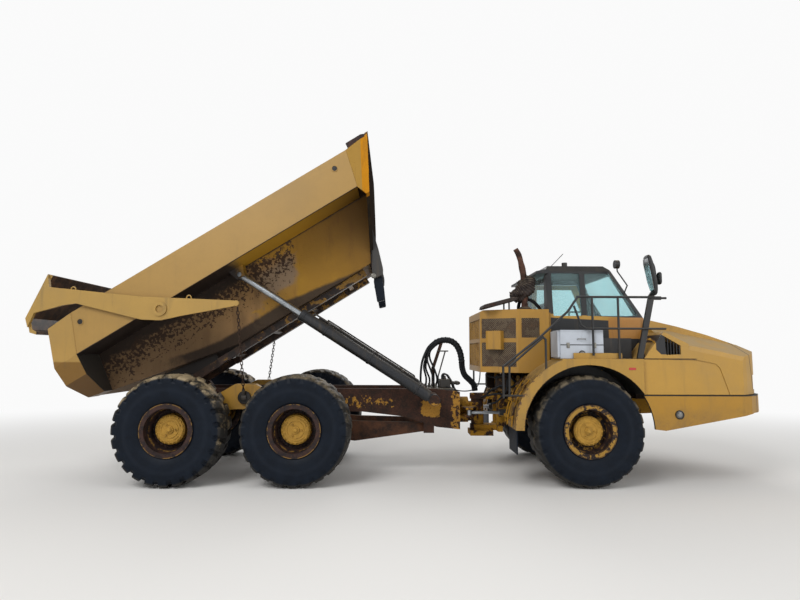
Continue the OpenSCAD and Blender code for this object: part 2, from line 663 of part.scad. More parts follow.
module rear_frame() color("#4a3a2a") chassis() {
    inner = frame_half - rail_w - run_gap;
    rear_rails();
    difference() {
        union() {
            rod_x(0, roll_z, roll_r + 70, -2230, -1900);
            block([-1960, -inner, 780], [-1900, inner, 1380]);
            block([-2230, -inner, 800], [-2190, inner, 1380]);
        }
        rod_x(0, roll_z, roll_r + run_gap, -2300, -1800);
    }
    for (x = [-3300, -6350]) rod_y(x, 1270, 90, -inner, inner);
    block([-2640, -inner, frame_top - 60], [-2480, inner, hose_foot - run_gap]);
    difference() {
        union() {
            for (z = [1110, 1210]) block([tip_x - 230, -90, z], [tip_x + 20, 90, z + 40]);
            block([tip_x - 60, -inner, 1110], [tip_x + 20, inner, 1250]);
        }
        rod_z(tip_x - 160, 0, tow_r, 1000, 1300);
    }
    rod_y(-hoist_back, hoist_z, hoist_pin_r, -hoist_y - 90, hoist_y + 90);
    both() difference() {
        rod_y(-hoist_back, hoist_z, 85, hoist_y + 66, hoist_y + 89);
        rod_y(-hoist_back, hoist_z, hoist_pin_r + run_gap, hoist_y, hoist_y + 90);
    }
    rod_y(tip_x, tip_z, tip_pin_r, -frame_half, frame_half);
    rod_y(beam_x, beam_z, beam_pin_r, -815, 815);
    tube([[-2330, 0, 1250], [-2330, 0, 1800], [-2165, 0, 2295]], 30);
    rod_y(-2330, 1300, 45, -inner, inner);
}

module rear_axles() color("#5a4a2c") chassis() for (x = [axle_x[1], axle_x[2]]) {
    rod_y(x, axle_z, 140, -960, 960);
    sphere_at([x, 0, axle_z], 225);
    rod_y(x, axle_z, spindle_r, -half_track + 80, half_track - 80);
    both() rod_y(x, axle_z, 190, 900, 975);
    if (x == axle_x[1]) {
        both() side(360, 440) polygon([[-4480, 960], [-3736, 889], [-2523, 860], [draft_x + 40, 810], [draft_x + 40, 760],
            [-2523, 713], [-3732, 545], [-4480, 660]]);
        rod_y(draft_x, draft_z, 75, -frame_half + rail_w + run_gap, frame_half - rail_w - run_gap);
    }
}
draft_x = -2442;
draft_z = 787;

module walking_beams() color("#d0a028") chassis() both() {
    difference() {
        side(640, 800) polygon([[axle_x[1] - 60, axle_z + 150], [axle_x[1] - 60, axle_z + 230],
            [-5400, 1540], [-5740, 1540], [axle_x[2] + 60, axle_z + 230],
            [axle_x[2] + 60, axle_z + 150], [-5740, 1120], [-5400, 1120]]);
        rod_y(beam_x, beam_z, beam_pin_r + run_gap, 600, 900);
        for (x = [axle_x[1], axle_x[2]]) rod_y(x, axle_z, 140 + run_gap, 600, 900);
    }
    for (x = [axle_x[1], axle_x[2]]) difference() {
        block([x - 90, 640, axle_z + 100], [x + 90, 800, axle_z + 240]);
        rod_y(x, axle_z, 140 + run_gap, 600, 900);
    }
}

// Hoses over the steering pivot, from the rear frame's stand to the front unit
hose_route = [[-2560, 0, 1480], [-2560, 0, 1700], [-2530, 0, 1930], [-2440, 0, 2150],
    [-2310, 0, 2290], [-2150, 0, 2350], [-1990, 0, 2335], [-1870, 0, 2250], [-1795, 0, 2110],
    [-1765, 0, 1960], [-1755, 0, 1830], [-1740, 0, 1740], [-1690, 0, 1665], [-1610, 0, 1590],
    [-1545, 0, 1510], [-1520, 0, 1390]];
// A tube of n sides swept along points that lie in one plane of constant Y
module sweep(pts, r, n) {
    m = len(pts) - 1;
    ring = [for (i = [0 : m]) let (d = pts[min(i + 1, m)] - pts[max(i - 1, 0)], t = d / norm(d))
        each [for (k = [0 : n - 1]) pts[i] + r * (cos(k * 360 / n) * [-t[2], 0, t[0]]
            + sin(k * 360 / n) * [0, 1, 0])]];
    polyhedron(ring, concat([[for (k = [n - 1 : -1 : 0]) k]],
        [[for (k = [0 : n - 1]) m * n + k]],
        [for (i = [0 : m - 1], k = [0 : n - 1]) [i * n + k, i * n + (k + 1) % n,
            (i + 1) * n + (k + 1) % n, (i + 1) * n + k]]));
}
module hose_bundle() color("#222222") chassis()
    for (y = [-60, 0, 60]) sweep([for (p = hose_route) p + [0, y, 0]], 27, 10);

// Hoist cylinders between the rear frame and the body
hoist_eye = turn([eye_x, eye_z], body_tip) + [tip_x, tip_z];
hoist_base = [-hoist_back, hoist_z];
hoist_rest = norm(hoist_eye - hoist_base);
hoist_angle = atan2(hoist_eye[1] - hoist_base[1], hoist_base[0] - hoist_eye[0]);
module hoist_place() chassis() translate([-hoist_back, 0, hoist_z]) rotate([0, 180 + hoist_angle, 0])
    children();
module hoist_barrels() color("#2e2e2e") hoist_place() both() difference() {
    union() {
        rod_x(hoist_y, 0, hoist_r, 112, barrel_len);
        block([0, hoist_y - 60, -70], [130, hoist_y + 60, 70]);
        rod_x(hoist_y, 0, hoist_r + 5, barrel_len - 90, barrel_len);
        rod_y(0, 0, 95, hoist_y - 60, hoist_y + 60);
    }
    rod_y(0, 0, hoist_pin_r + run_gap, hoist_y - 61, hoist_y + 61);
    rod_x(hoist_y, 0, rod_r + run_gap, 135, barrel_len + 10);
}
rod_len = 2600;
module hoist_rods() color("#c8c8c8") hoist_place() both() {
    rod_x(hoist_y, 0, rod_r, hoist_rest - rod_len, hoist_rest - 40);
    rod_y(hoist_rest, 0, 70, hoist_y - 50, hoist_y + 50);
}

// Dump body: lower hull, shelf and upper wall, floor kicked up to the tail
function wall_x(z) = 3781 + head_lean * (z + 120);
shelf_z = 1310;
tail_low = floor_z + kick_slope * (kick_x + 1229);
module hull_side(g) polygon([[wall_x(body_top), body_top], [wall_x(floor_z), floor_z + g],
    [kick_x, floor_z + g], [-1229 - g * 3, tail_low + g], [-1279 - g * 3, 740], [-1247 - g * 3, 1054],
    [-1038 - g * 3, 1662], [-1038 - g * 3, body_top + g * 3], [-614, body_top + g * 3],
    [wall_x(body_top), body_top + g * 3]]);
module hull_cross(g) polygon(mirrored([[floor_half - g, floor_z - 40 + g], [waist_half - g, body_rail_low + g],
    [body_half - 60 - g, shelf_z + g], [body_half - 60 - g, body_top + 200]]));
module body_shell() color("#6b4a2c") on_body() difference() {
    intersection() { side(-2000, 2000) hull_side(0); cross(-1400, 5200) hull_cross(0); }
    intersection() { side(-2000, 2000) hull_side(plate); cross(-1500, 5200) hull_cross(plate); }
}

// Top rails, sills under the floor, brackets for the pivot, the hoists and the tailgate
module rail_ring(g) polygon([[waist_half + 15 + g * 2.5, body_rail_low + g], [body_half - g, body_rail_low + g],
    [body_half - g, body_top - g], [body_half - 60 + g * 0.2, body_top - g], [body_half - 60 + g * 0.2, shelf_z - g * 0.9]]);
module body_rails() color("#c79a4a") on_body() {
    intersection() {
        both() cross(-846, 4600) difference() { rail_ring(0); rail_ring(22); }
        side(-2000, 2000) polygon([[-846, body_rail_low], [-614, body_top], [4449, body_top],
            [4291, body_rail_low]]);
    }
    both() block([700 + run_gap, frame_half - sill_in, floor_z - sill_h], [3700, frame_half - 10, floor_z]);
    both() difference() {
        side(frame_half - rail_w - 70, frame_half - rail_w - 10) polygon([[700, floor_z], [700, floor_z - sill_h],
            [500, floor_z - sill_h], [0, -105], [-100, -60], [-110, 0], [-240, 300], [0, 254], [700, 114]]);
        rod_y(0, 0, tip_pin_r + run_gap, 100, 700);
    }
    for (x = [900, 1700, 2500, 3300])
        block([x, -frame_half + sill_in + run_gap, floor_z - 80], [x + 80, frame_half - sill_in - run_gap, floor_z]);
    both() for (y = [hoist_y - 95, hoist_y + 60]) difference() {
        side(y, y + 35) polygon([[eye_x - 130, body_rail_low], [eye_x - 70, eye_z - 60],
            [eye_x + 70, eye_z - 60], [eye_x + 130, body_rail_low]]);
        rod_y(eye_x, eye_z, 40, y - 1, y + 40);
    }
    both() rod_y(gate_x, gate_z, 60, body_half - 300, body_half + 10 + arm_t);
    both() side(body_half - 60, body_half - 10) polygon([[gate_x - 200, body_rail_low], [gate_x - 90, gate_z - 90],
        [gate_x + 90, gate_z - 90], [gate_x + 200, body_rail_low]]);
}

module front_wall() color("#6b4a2c") on_body() translate([run_gap * sqrt(1 + pow(head_lean, 2)), 0, 0]) {
    intersection() {
        side(-2000, 2000) polygon([[wall_x(-60), -60], [wall_x(head_top), head_top],
            [wall_x(head_top) + 60, head_top], [wall_x(-60) + 60, -60]]);
        cross(3500, 5200) polygon(mirrored([[740, -60], [760, 150], [body_half, 900], [body_half, head_top - 100],
            [body_half - 130, head_top]]));
    }
    both() side(body_half - 40, body_half) polygon([[wall_x(900), 900], [wall_x(head_top - 100), head_top - 100],
        [wall_x(head_top - 100) - 120, head_top - 100], [4449, body_top], [4291, body_rail_low]]);
}

// Band round the tail
module tail_band() color("#8a6a3a") on_body() difference() {
    intersection() {
        side(-2000, 2000) polygon([[-614, body_top], [-846, body_rail_low], [-984, tail_low - 60], [-1229, tail_low - 10],
            [-1279, 740], [-1247, 1054], [-1038, 1662]]);
        cross(-1400, -500) difference() {
            polygon(mirrored([[700, tail_low - 100], [1050, tail_low - 60], [1430, 760], [body_half, body_rail_low],
                [body_half, body_top]]));
            hull_cross(0);
        }
    }
    side(-2000, 2000) polygon([[-1500, tail_low - 200], [-1500, tail_low], [-984, tail_low - 49], [-700, tail_low - 107], [-700, 200]]);
    intersection() {
        side(-2000, 2000) polygon([[-680, 1640], [-870, 1075], [-960, 560], [-1180, 560],
            [-1230, 740], [-1200, 1054], [-1010, 1640]]);
        both() cross(-1400, -500) polygon([[waist_half + 40, 560], [1040, 560], [1400, 790], [body_half - 40, 1090],
            [body_half - 40, shelf_z - 50], [waist_half + 60, body_rail_low - 30]]);
    }
}

module body_flap() color("#222222") on_body() translate([wall_x(-60) + 20, 0, -62]) rotate([0, 6, 0])
    both() block([-10, 585, -330], [12, 735, 0]);

// Scissor tailgate: curved plate between two arms
module tailgate() color("#c79a4a") on_gate() {
    y_in = body_half + 12;
    difference() {
        both() side(y_in, y_in + arm_t) {
            polygon([[-1700, 500], [-300, 225], [arm_len - 30, 30], [arm_len - 30, -60], [300, -140],
                [0, -179], [-300, -140], [-1300, 205], [-1500, 195], [-1954, 112], [-2062, -100], [-2090, 40], [-1717, 708]]);
            translate([arm_len, -15]) circle(r = 45);
        }
        rod_y(0, 0, 60 + run_gap, -2000, 2000);
    }
    both() difference() {
        rod_y(0, 0, gate_boss_r, y_in, y_in + arm_t + 22);
        rod_y(0, 0, 60 + run_gap, 0, 2000);
    }
    side(-y_in, y_in) polygon([[-1717, 708], [-2090, 40], [-2062, -184], [-1960, -225],
        [-1960, -225 + gate_plate], [-2062 + gate_plate, -184 + gate_plate], [-2090 + gate_plate, 40],
        [-1717 + gate_plate, 708 - gate_plate / 2]]);
}

// Chains that hold the arms' tips
chain_y = 845;
arm_tip = turn([gate_x, gate_z] + turn([arm_len, -15], -gate_open), body_tip) + [tip_x, tip_z];
chain_low = [beam_x, chain_y, beam_z];
chain_high = [arm_tip[0], body_half - 40, arm_tip[1] - 60];
chain_links = 14;
module stadium(l, r) {
    for (e = [-1, 1]) translate([e * (l / 2 - r), 0]) circle(r = r);
    square([l - 2 * r, 2 * r], center = true);
}
module link(l, w, t) rotate([0, 90, 0]) translate([0, 0, -t / 2]) linear_extrude(t) difference() {
    stadium(l, w / 2);
    stadium(l - 2 * t, w / 2 - t);
}
module gate_chains() color("#8a7a5a") chassis() both() {
    rod_y(beam_x, beam_z, 45, 815 + run_gap, chain_y + 5);
    d = chain_high - chain_low;
    pitch = norm(d) / chain_links;
    translate(chain_low) rotate([0, acos(d[2] / norm(d)), atan2(d[1], d[0])])
        for (i = [0 : chain_links - 1]) translate([0, 0, (i + 0.5) * pitch]) rotate([0, 0, i * 90])
            link(pitch + 34, 66, 17);
}

// Wheels

module tyre(i, s) color("#202124") chassis() translate([axle_x[i], s * half_track, axle_z]) rotate([90, 0, 0]) {
    h = tyre_w / 2;
    c = tyre_r - lug_h;
    rotate_extrude($fn = 96) polygon([[bead_r, -h + 80], [bead_r + 60, -h + 35], [600, -h + 4], [720, -h + 4], [800, -h + 26],
        [c - 8, -h + 75], [c, -h + 140], [c, h - 140], [c - 8, h - 75], [800, h - 26], [720, h - 4], [600, h - 4],
        [bead_r + 60, h - 35], [bead_r, h - 80], [bead_r, h - 110], [450, h - 75], [700, h - 50], [780, h - 90],
        [800, 0], [780, -h + 90], [700, -h + 50], [450, -h + 75], [bead_r, -h + 110]]);
    intersection() {
        for (k = [0 : lug_count - 1], e = [-1, 1]) rotate([0, 0, (k + (e > 0 ? 0.5 : 0)) * 360 / lug_count])
            rotate([e * 12, 0, 0]) translate([c - 90, -lug_w / 2, e > 0 ? 24 : -h - 60]) cube([200, lug_w, h + 36]);
        rotate_extrude($fn = 96) polygon([[c - 60, -h + 20], [c - 30, -h], [tyre_r - 30, -h + 22], [tyre_r - 8, -h + 70], [tyre_r, -h + 150],
            [tyre_r, h - 150], [tyre_r - 8, h - 70], [tyre_r - 30, h - 22], [c - 30, h], [c - 60, h - 20]]);
    }
}
module rim(i, s) color(i == 0 ? "#c79a3a" : "#4a3226") chassis() translate([axle_x[i], s * half_track, axle_z])
    rotate([s > 0 ? -90 : 90, 0, 0]) {
    d = i == 0 ? 60 : 0;
    bead = tyre_w / 2 - 80;
    lip = bead + 27 + run_gap;
    rotate_extrude($fn = 96) polygon([[340, -lip - 18], [bead_r + 36, -lip - 18], [bead_r + 36, -lip], [bead_r, -bead],
        [bead_r, bead], [bead_r + 36, lip], [bead_r + 36, lip + 18], [340, lip + 18],
        [345, 200 + d], [300, 20 + d], [hub_r, 0 + d], [hub_r, 110 + d], [hub_r - 30, 130 + d], [60, 130 + d], [60, 150 + d], [0, 150 + d],
        [0, -80], [spindle_r + run_gap, -80], [spindle_r + run_gap, -200], [190, -200], [190, -60 + d], [320, -30 + d], [330, -200]]);
    for (k = [0 : 19]) rotate([0, 0, k * 18]) translate([hub_r - 26, 0, 120 + d]) cylinder(r = 12, h = 22, $fn = 16);
}
module tyre_front_left() tyre(0, 1);
module tyre_front_right() tyre(0, -1);
module tyre_mid_left() tyre(1, 1);
module tyre_mid_right() tyre(1, -1);
module tyre_rear_left() tyre(2, 1);
module tyre_rear_right() tyre(2, -1);
module rim_front_left() rim(0, 1);
module rim_front_right() rim(0, -1);
module rim_mid_left() rim(1, 1);
module rim_mid_right() rim(1, -1);
module rim_rear_left() rim(2, 1);
module rim_rear_right() rim(2, -1);

front_frame();
front_axle();
engine_block();
fenders();
mudflaps();
bumper();
cab_shell();
cab_glass();
cab_seat();
cooler_housing();
exhaust_stack();
handrails();
mirrors();
tool_box();
hood();
front_grille();
cab_door();
door_glass();
steer_barrel_left();
steer_barrel_right();
steer_rod_left();
steer_rod_right();
hitch_casting();
rear_frame();
rear_axles();
walking_beams();
hose_bundle();
hoist_barrels();
hoist_rods();
body_shell();
body_rails();
front_wall();
tail_band();
body_flap();
tailgate();
gate_chains();
tyre_front_left();
tyre_front_right();
tyre_mid_left();
tyre_mid_right();
tyre_rear_left();
tyre_rear_right();
rim_front_left();
rim_front_right();
rim_mid_left();
rim_mid_right();
rim_rear_left();
rim_rear_right();
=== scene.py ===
import math

import bpy
import numpy as np
from mathutils import Matrix, Vector


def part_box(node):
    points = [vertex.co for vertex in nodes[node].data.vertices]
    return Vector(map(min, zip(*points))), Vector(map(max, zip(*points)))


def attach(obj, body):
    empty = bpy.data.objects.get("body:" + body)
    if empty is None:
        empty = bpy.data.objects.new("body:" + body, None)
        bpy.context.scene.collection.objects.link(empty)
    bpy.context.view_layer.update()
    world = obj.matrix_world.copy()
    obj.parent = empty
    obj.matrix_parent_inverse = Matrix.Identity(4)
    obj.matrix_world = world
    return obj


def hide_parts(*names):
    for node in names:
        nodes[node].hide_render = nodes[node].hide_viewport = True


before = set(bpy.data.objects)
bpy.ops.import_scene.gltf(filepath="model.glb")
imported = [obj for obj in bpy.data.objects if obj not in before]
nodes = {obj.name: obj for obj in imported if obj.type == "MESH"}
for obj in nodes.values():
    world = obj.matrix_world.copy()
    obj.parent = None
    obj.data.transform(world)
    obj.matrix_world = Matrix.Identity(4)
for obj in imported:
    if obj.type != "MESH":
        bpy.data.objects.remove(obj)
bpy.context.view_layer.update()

# Where things are, in metres, from the CAD model
AXLE_X = {axle: sum(corner.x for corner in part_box(f"tyre_{axle}_left")) / 2
          for axle in ("front", "mid", "rear")}
FRONT_X = AXLE_X["front"]
TYRE_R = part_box("tyre_front_left")[1].z / 2
TRACK_Y = sum(corner.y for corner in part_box("tyre_front_left")) / 2

# The load body's pivot, measured from the front axle, its angle, the way its front looks, and half its width
TIP_X, TIP_Z, TIP_ANGLE = -6.730, 1.570, math.radians(32)
FAR_WAY = (math.cos(TIP_ANGLE), 0, math.sin(TIP_ANGLE))
BODY_HALF = 1.540

# Camera, measured from the front axle, with the focal length of an 800 pixel wide picture
CAMERA_X, CAMERA_Y, CAMERA_Z = -3.046, -10.156, 2.081
CAMERA_YAW, CAMERA_PITCH, CAMERA_ROLL = 0.566, 5.51, 0.206
FOCAL_PIXELS, PICTURE_WIDTH, SENSOR = 545, 800, 36


def add_camera():
    """Looks along yaw and pitch from the place of the camera, then rolls about that line."""
    yaw, pitch, roll = (math.radians(a) for a in (CAMERA_YAW, CAMERA_PITCH, CAMERA_ROLL))
    ahead = Vector((math.sin(yaw) * math.cos(pitch), math.cos(yaw) * math.cos(pitch), math.sin(pitch)))
    right = Vector((math.cos(yaw), -math.sin(yaw), 0))
    up = right.cross(ahead)
    right, up = (right * math.cos(roll) + up * math.sin(roll), up * math.cos(roll) - right * math.sin(roll))
    camera = bpy.data.objects.new("camera", bpy.data.cameras.new("camera"))
    camera.data.sensor_width = SENSOR
    camera.data.lens = FOCAL_PIXELS / PICTURE_WIDTH * SENSOR
    camera.data.clip_end = 200
    turn = Matrix((right, up, -ahead)).transposed().to_4x4()
    camera.matrix_world = Matrix.Translation((FRONT_X + CAMERA_X, CAMERA_Y, CAMERA_Z)) @ turn
    bpy.context.scene.collection.objects.link(camera)
    bpy.context.scene.camera = camera


add_camera()


class Level:
    """What a node gives out. +, - and * on it add the nodes that work out the result."""

    def __init__(self, finish, socket):
        self.finish = finish
        self.socket = socket

    def __add__(self, other):
        return self.finish.math("ADD", self, other)

    def __sub__(self, other):
        return self.finish.math("SUBTRACT", self, other)

    def __rsub__(self, other):
        return self.finish.math("SUBTRACT", other, self)

    def __mul__(self, other):
        return self.finish.math("MULTIPLY", self, other)

    __radd__, __rmul__ = __add__, __mul__


class Finish:
    """A material in the making: each method adds nodes and gives back what comes out of them."""

    def __init__(self, name):
        self.material = bpy.data.materials.new(name)
        self.material.use_nodes = True
        self.tree = self.material.node_tree
        self.shader = self.tree.nodes["Principled BSDF"]
        self.place = self.node("TexCoord").outputs["Object"]

    def node(self, kind, inputs=(), **settings):
        """Adds a node of a kind, with its settings and inputs."""
        made = self.tree.nodes.new("ShaderNode" + kind)
        for key, value in settings.items():
            setattr(made, key, value)
        for key, value in dict(inputs).items():
            self.put(value, made.inputs[key])
        return made

    def put(self, value, socket):
        """Links a node's result to an input, or sets a plain value there."""
        value = value.socket if isinstance(value, Level) else value
        if isinstance(value, bpy.types.NodeSocket):
            self.tree.links.new(value, socket)
        elif isinstance(value, (tuple, list)) and socket.type == "RGBA" and len(value) == 3:
            socket.default_value = (*value, 1)
        else:
            socket.default_value = value

    def set(self, **values):
        """Fills in the shader's inputs and gives the finished material."""
        for key, value in values.items():
            self.put(value, self.shader.inputs[key.replace("_", " ").title().replace("Ior", "IOR")])
        return self.material

    def math(self, operation, a, b=0.0, clamp=False):
        """One step of arithmetic on two numbers."""
        return Level(self, self.node("Math", {0: a, 1: b}, operation=operation, use_clamp=clamp).outputs[0])

    def most(self, *values):
        """The largest of the values."""
        out = values[0]
        for value in values[1:]:
            out = self.math("MAXIMUM", out, value)
        return out

    def vector(self, operation, a, b=(0, 0, 0)):
        """One step of arithmetic on two vectors."""
        made = self.node("VectorMath", {0: a, 1: b}, operation=operation)
        return Level(self, made.outputs["Value" if operation in ("DOT_PRODUCT", "LENGTH") else "Vector"])

    def noise(self, scale, detail=5.0, rough=0.6, stretch=None, swirl=0.0):
        """Cloudy pattern from 0 to 1, finer with a larger scale."""
        place = self.place
        if stretch:
            place = self.node("Mapping", {"Vector": place, "Scale": stretch}).outputs[0]
        made = self.node("TexNoise", {"Vector": place, "Scale": scale, "Detail": detail, "Roughness": rough,
                                      "Distortion": swirl})
        return Level(self, made.outputs[0])

    def between(self, value, low, high):
        """0 below low, 1 above high, smooth in between."""
        made = self.node("MapRange", {0: value, 1: low, 2: high}, interpolation_type="SMOOTHSTEP")
        return Level(self, made.outputs[0])

    def band(self, value, low, high, soft=0.01):
        """1 from low to high, 0 outside."""
        return self.between(value, low - soft, low + soft) * self.between(value, high + soft, high - soft)

    def mix(self, share, a, b, how="MIX"):
        """Colour a where the share is 0, and b where it is 1."""
        made = self.node("Mix", data_type="RGBA", blend_type=how)
        for value, socket in ((share, 0), (a, 6), (b, 7)):
            self.put(value, made.inputs[socket])
        return made.outputs[2]

    def normal(self):
        return self.node("NewGeometry").outputs["Normal"]

    def edges(self, radius=0.012):
        """1 along sharp edges and in corners: where a rounded normal turns away from the true one."""
        soft = self.node("Bevel", {"Radius": radius}, samples=4).outputs[0]
        return self.between(self.vector("DOT_PRODUCT", soft, self.normal()), 0.985, 0.86)

    def looks(self, direction, low, high):
        """1 on faces whose outward normal leans towards a direction, which is a unit vector."""
        return self.between(self.vector("DOT_PRODUCT", self.normal(), direction), low, high)

    def upward(self):
        """1 on faces that look up, 0 on walls and undersides."""
        return self.looks((0, 0, 1), 0.3, 0.95)

    def below(self):
        """1 on faces that look down."""
        return self.looks((0, 0, -1), 0.25, 0.6)

    def inner(self, low, high):
        """1 on faces that look at the truck's middle plane: their normal's Y times their own is negative."""
        return self.between(self.axis("Y", self.normal()) * self.axis("Y"), low, high)

    def axis(self, letter, vector=None):
        """How far along X, Y or Z a point lies, or another vector reaches."""
        split = self.node("SeparateXYZ", {0: self.place if vector is None else vector})
        return Level(self, split.outputs[letter])

    def beside(self, low, high):
        """0 at low and 1 at high, both measured sideways from the truck's middle plane."""
        return self.between(self.math("ABSOLUTE", self.axis("Y")), low, high)

    def along(self, x, z, angle):
        """How far a point lies from (x, z) along a line that rises at the angle."""
        spot = self.vector("SUBTRACT", self.place, (x, 0, z))
        return self.vector("DOT_PRODUCT", spot, (math.cos(angle), 0, math.sin(angle)))

    def off_axle(self, x):
        """Way from the axle at x to a point, seen from the side."""
        return self.vector("MULTIPLY", self.vector("SUBTRACT", self.place, (x, 0, TYRE_R)), (1, 0, 1))

    def from_axle(self, x):
        """How far a point lies from the axle at x, seen from the side."""
        return self.vector("LENGTH", self.off_axle(x))

    def body_place(self):
        """How far along and how high a point lies in the load body's own frame."""
        return [self.along(FRONT_X + TIP_X, TIP_Z, TIP_ANGLE + turn) for turn in (0, math.pi / 2)]

    def bump(self, height, distance=0.002, strength=1.0):
        """Small relief on the surface, from a pattern of heights."""
        made = self.node("Bump", {"Height": height, "Distance": distance, "Strength": strength})
        self.put(made.outputs[0], self.shader.inputs["Normal"])


RUST_DARK, RUST, RUST_PALE = (0.020, 0.011, 0.008), (0.080, 0.032, 0.015), (0.20, 0.085, 0.032)
DUST, MUD = (0.36, 0.28, 0.17), (0.085, 0.062, 0.038)
YELLOW, ORANGE, TAN = (0.47, 0.262, 0.040), (0.41, 0.208, 0.014), (0.36, 0.212, 0.052)
BLACK, SHADOW = (0.012, 0.013, 0.015), (0.010, 0.009, 0.008)


def worn_paint(name, colour, rust=0.35, dust=0.3, grime=0.4, rough=0.45, fade=0.14, low_mud=0.9, chips=1.0,
               areas=None, over=None, seams=None, shine=0.5):
    """Paint that fades in broad patches, with rust through it, chipped edges, runs, dust and mud.

    areas paints other colours on it first, over lays something on top, and seams darkens the panels' gaps.
    """
    f = Finish(name)
    broad = f.noise(0.8, 6, 0.65)
    middle = f.noise(4.0, 8, 0.7, swirl=0.4)
    fine = f.noise(38, 6, 0.7)
    runs = f.noise(7, 6, 0.65, stretch=(1, 1, 0.12))
    base = areas(f, colour) if areas else colour
    skin = f.mix(f.between(broad, 0.35, 0.68), base, f.mix(1.0, base, (1 - fade,) * 3, "MULTIPLY"))
    skin = f.mix(f.between(runs, 0.52, 0.74) * grime, skin, MUD)
    skin = f.mix(f.between(fine, 0.5, 0.8) * 0.2, skin, tuple(c * 0.5 for c in colour))
    worn = middle * 0.75 + fine * 0.25 + f.edges() * (0.2 * chips)
    bare = f.between(worn, 0.82 - rust * 0.45, 0.85 - rust * 0.45)
    metal = f.mix(f.between(fine, 0.35, 0.7), RUST_DARK, RUST)
    metal = f.mix(f.between(middle, 0.5, 0.8), metal, RUST_PALE)
    skin = f.mix(bare, skin, metal)
    dusty = f.most(f.upward() * f.between(middle, 0.25, 0.6) * min(1, dust * 2.2),
                   f.between(broad, 0.45, 0.75) * (dust * 0.5))
    skin = f.mix(dusty, skin, DUST)
    splash = f.between(f.axis("Z") - middle * 1.6, low_mud - 0.4, low_mud - 1.5)
    skin = f.mix(splash * 0.8, skin, MUD)
    # Faces that look down are made darker and browner.
    skin = f.mix(f.below() * 0.62, skin, f.mix(1.0, skin, (0.42, 0.34, 0.16), "MULTIPLY"))
    relief = fine * 0.5 - bare * 0.6
    if over:
        skin = over(f, skin)
    if seams:
        gap = seams(f)
        skin = f.mix(gap, skin, (0.010, 0.007, 0.005))
        relief = relief - gap * 3.0
    f.bump(relief, 0.0015)
    gloss = f.math("ADD", rough, f.most(bare, dusty) * 0.35, clamp=True)
    return f.set(base_color=skin, roughness=gloss, specular_ior_level=shine)


def rusty_plate(name, left=YELLOW, paint_left=0.25, dust=0.2, patches=None, metal_tint=None):
    """Bare plate, rusted dark, with what is left of its paint in patches and dusty runs."""
    f = Finish(name)
    broad = f.noise(1.1, 7, 0.7, swirl=0.6)
    middle = f.noise(6.0, 8, 0.7)
    fine = f.noise(55, 6, 0.7)
    runs = f.noise(9, 6, 0.7, stretch=(1, 1, 0.1))
    metal = f.mix(f.between(middle, 0.35, 0.65), RUST_DARK, metal_tint or RUST)
    metal = f.mix(f.between(fine, 0.52, 0.75) * 0.4, metal, RUST_PALE)
    kept = broad * 0.6 + middle * 0.4
    if patches:
        kept = broad * 0.15 + middle * 0.25 + f.noise(11, 6, 0.7) * 0.60 + patches(f)
    kept = f.between(kept, 0.72 - paint_left * 0.5, 0.745 - paint_left * 0.5)
    skin = f.mix(kept * 0.92, metal, f.mix(f.between(fine, 0.45, 0.7) * 0.5, left, RUST))
    skin = f.mix(f.between(runs, 0.5, 0.72) * dust, skin, MUD)
    skin = f.mix(f.upward() * dust, skin, DUST)
    f.bump(fine + middle * 0.8 + kept * 0.6, 0.003)
    return f.set(base_color=skin, roughness=0.8, metallic=0.05, specular_ior_level=0.3)


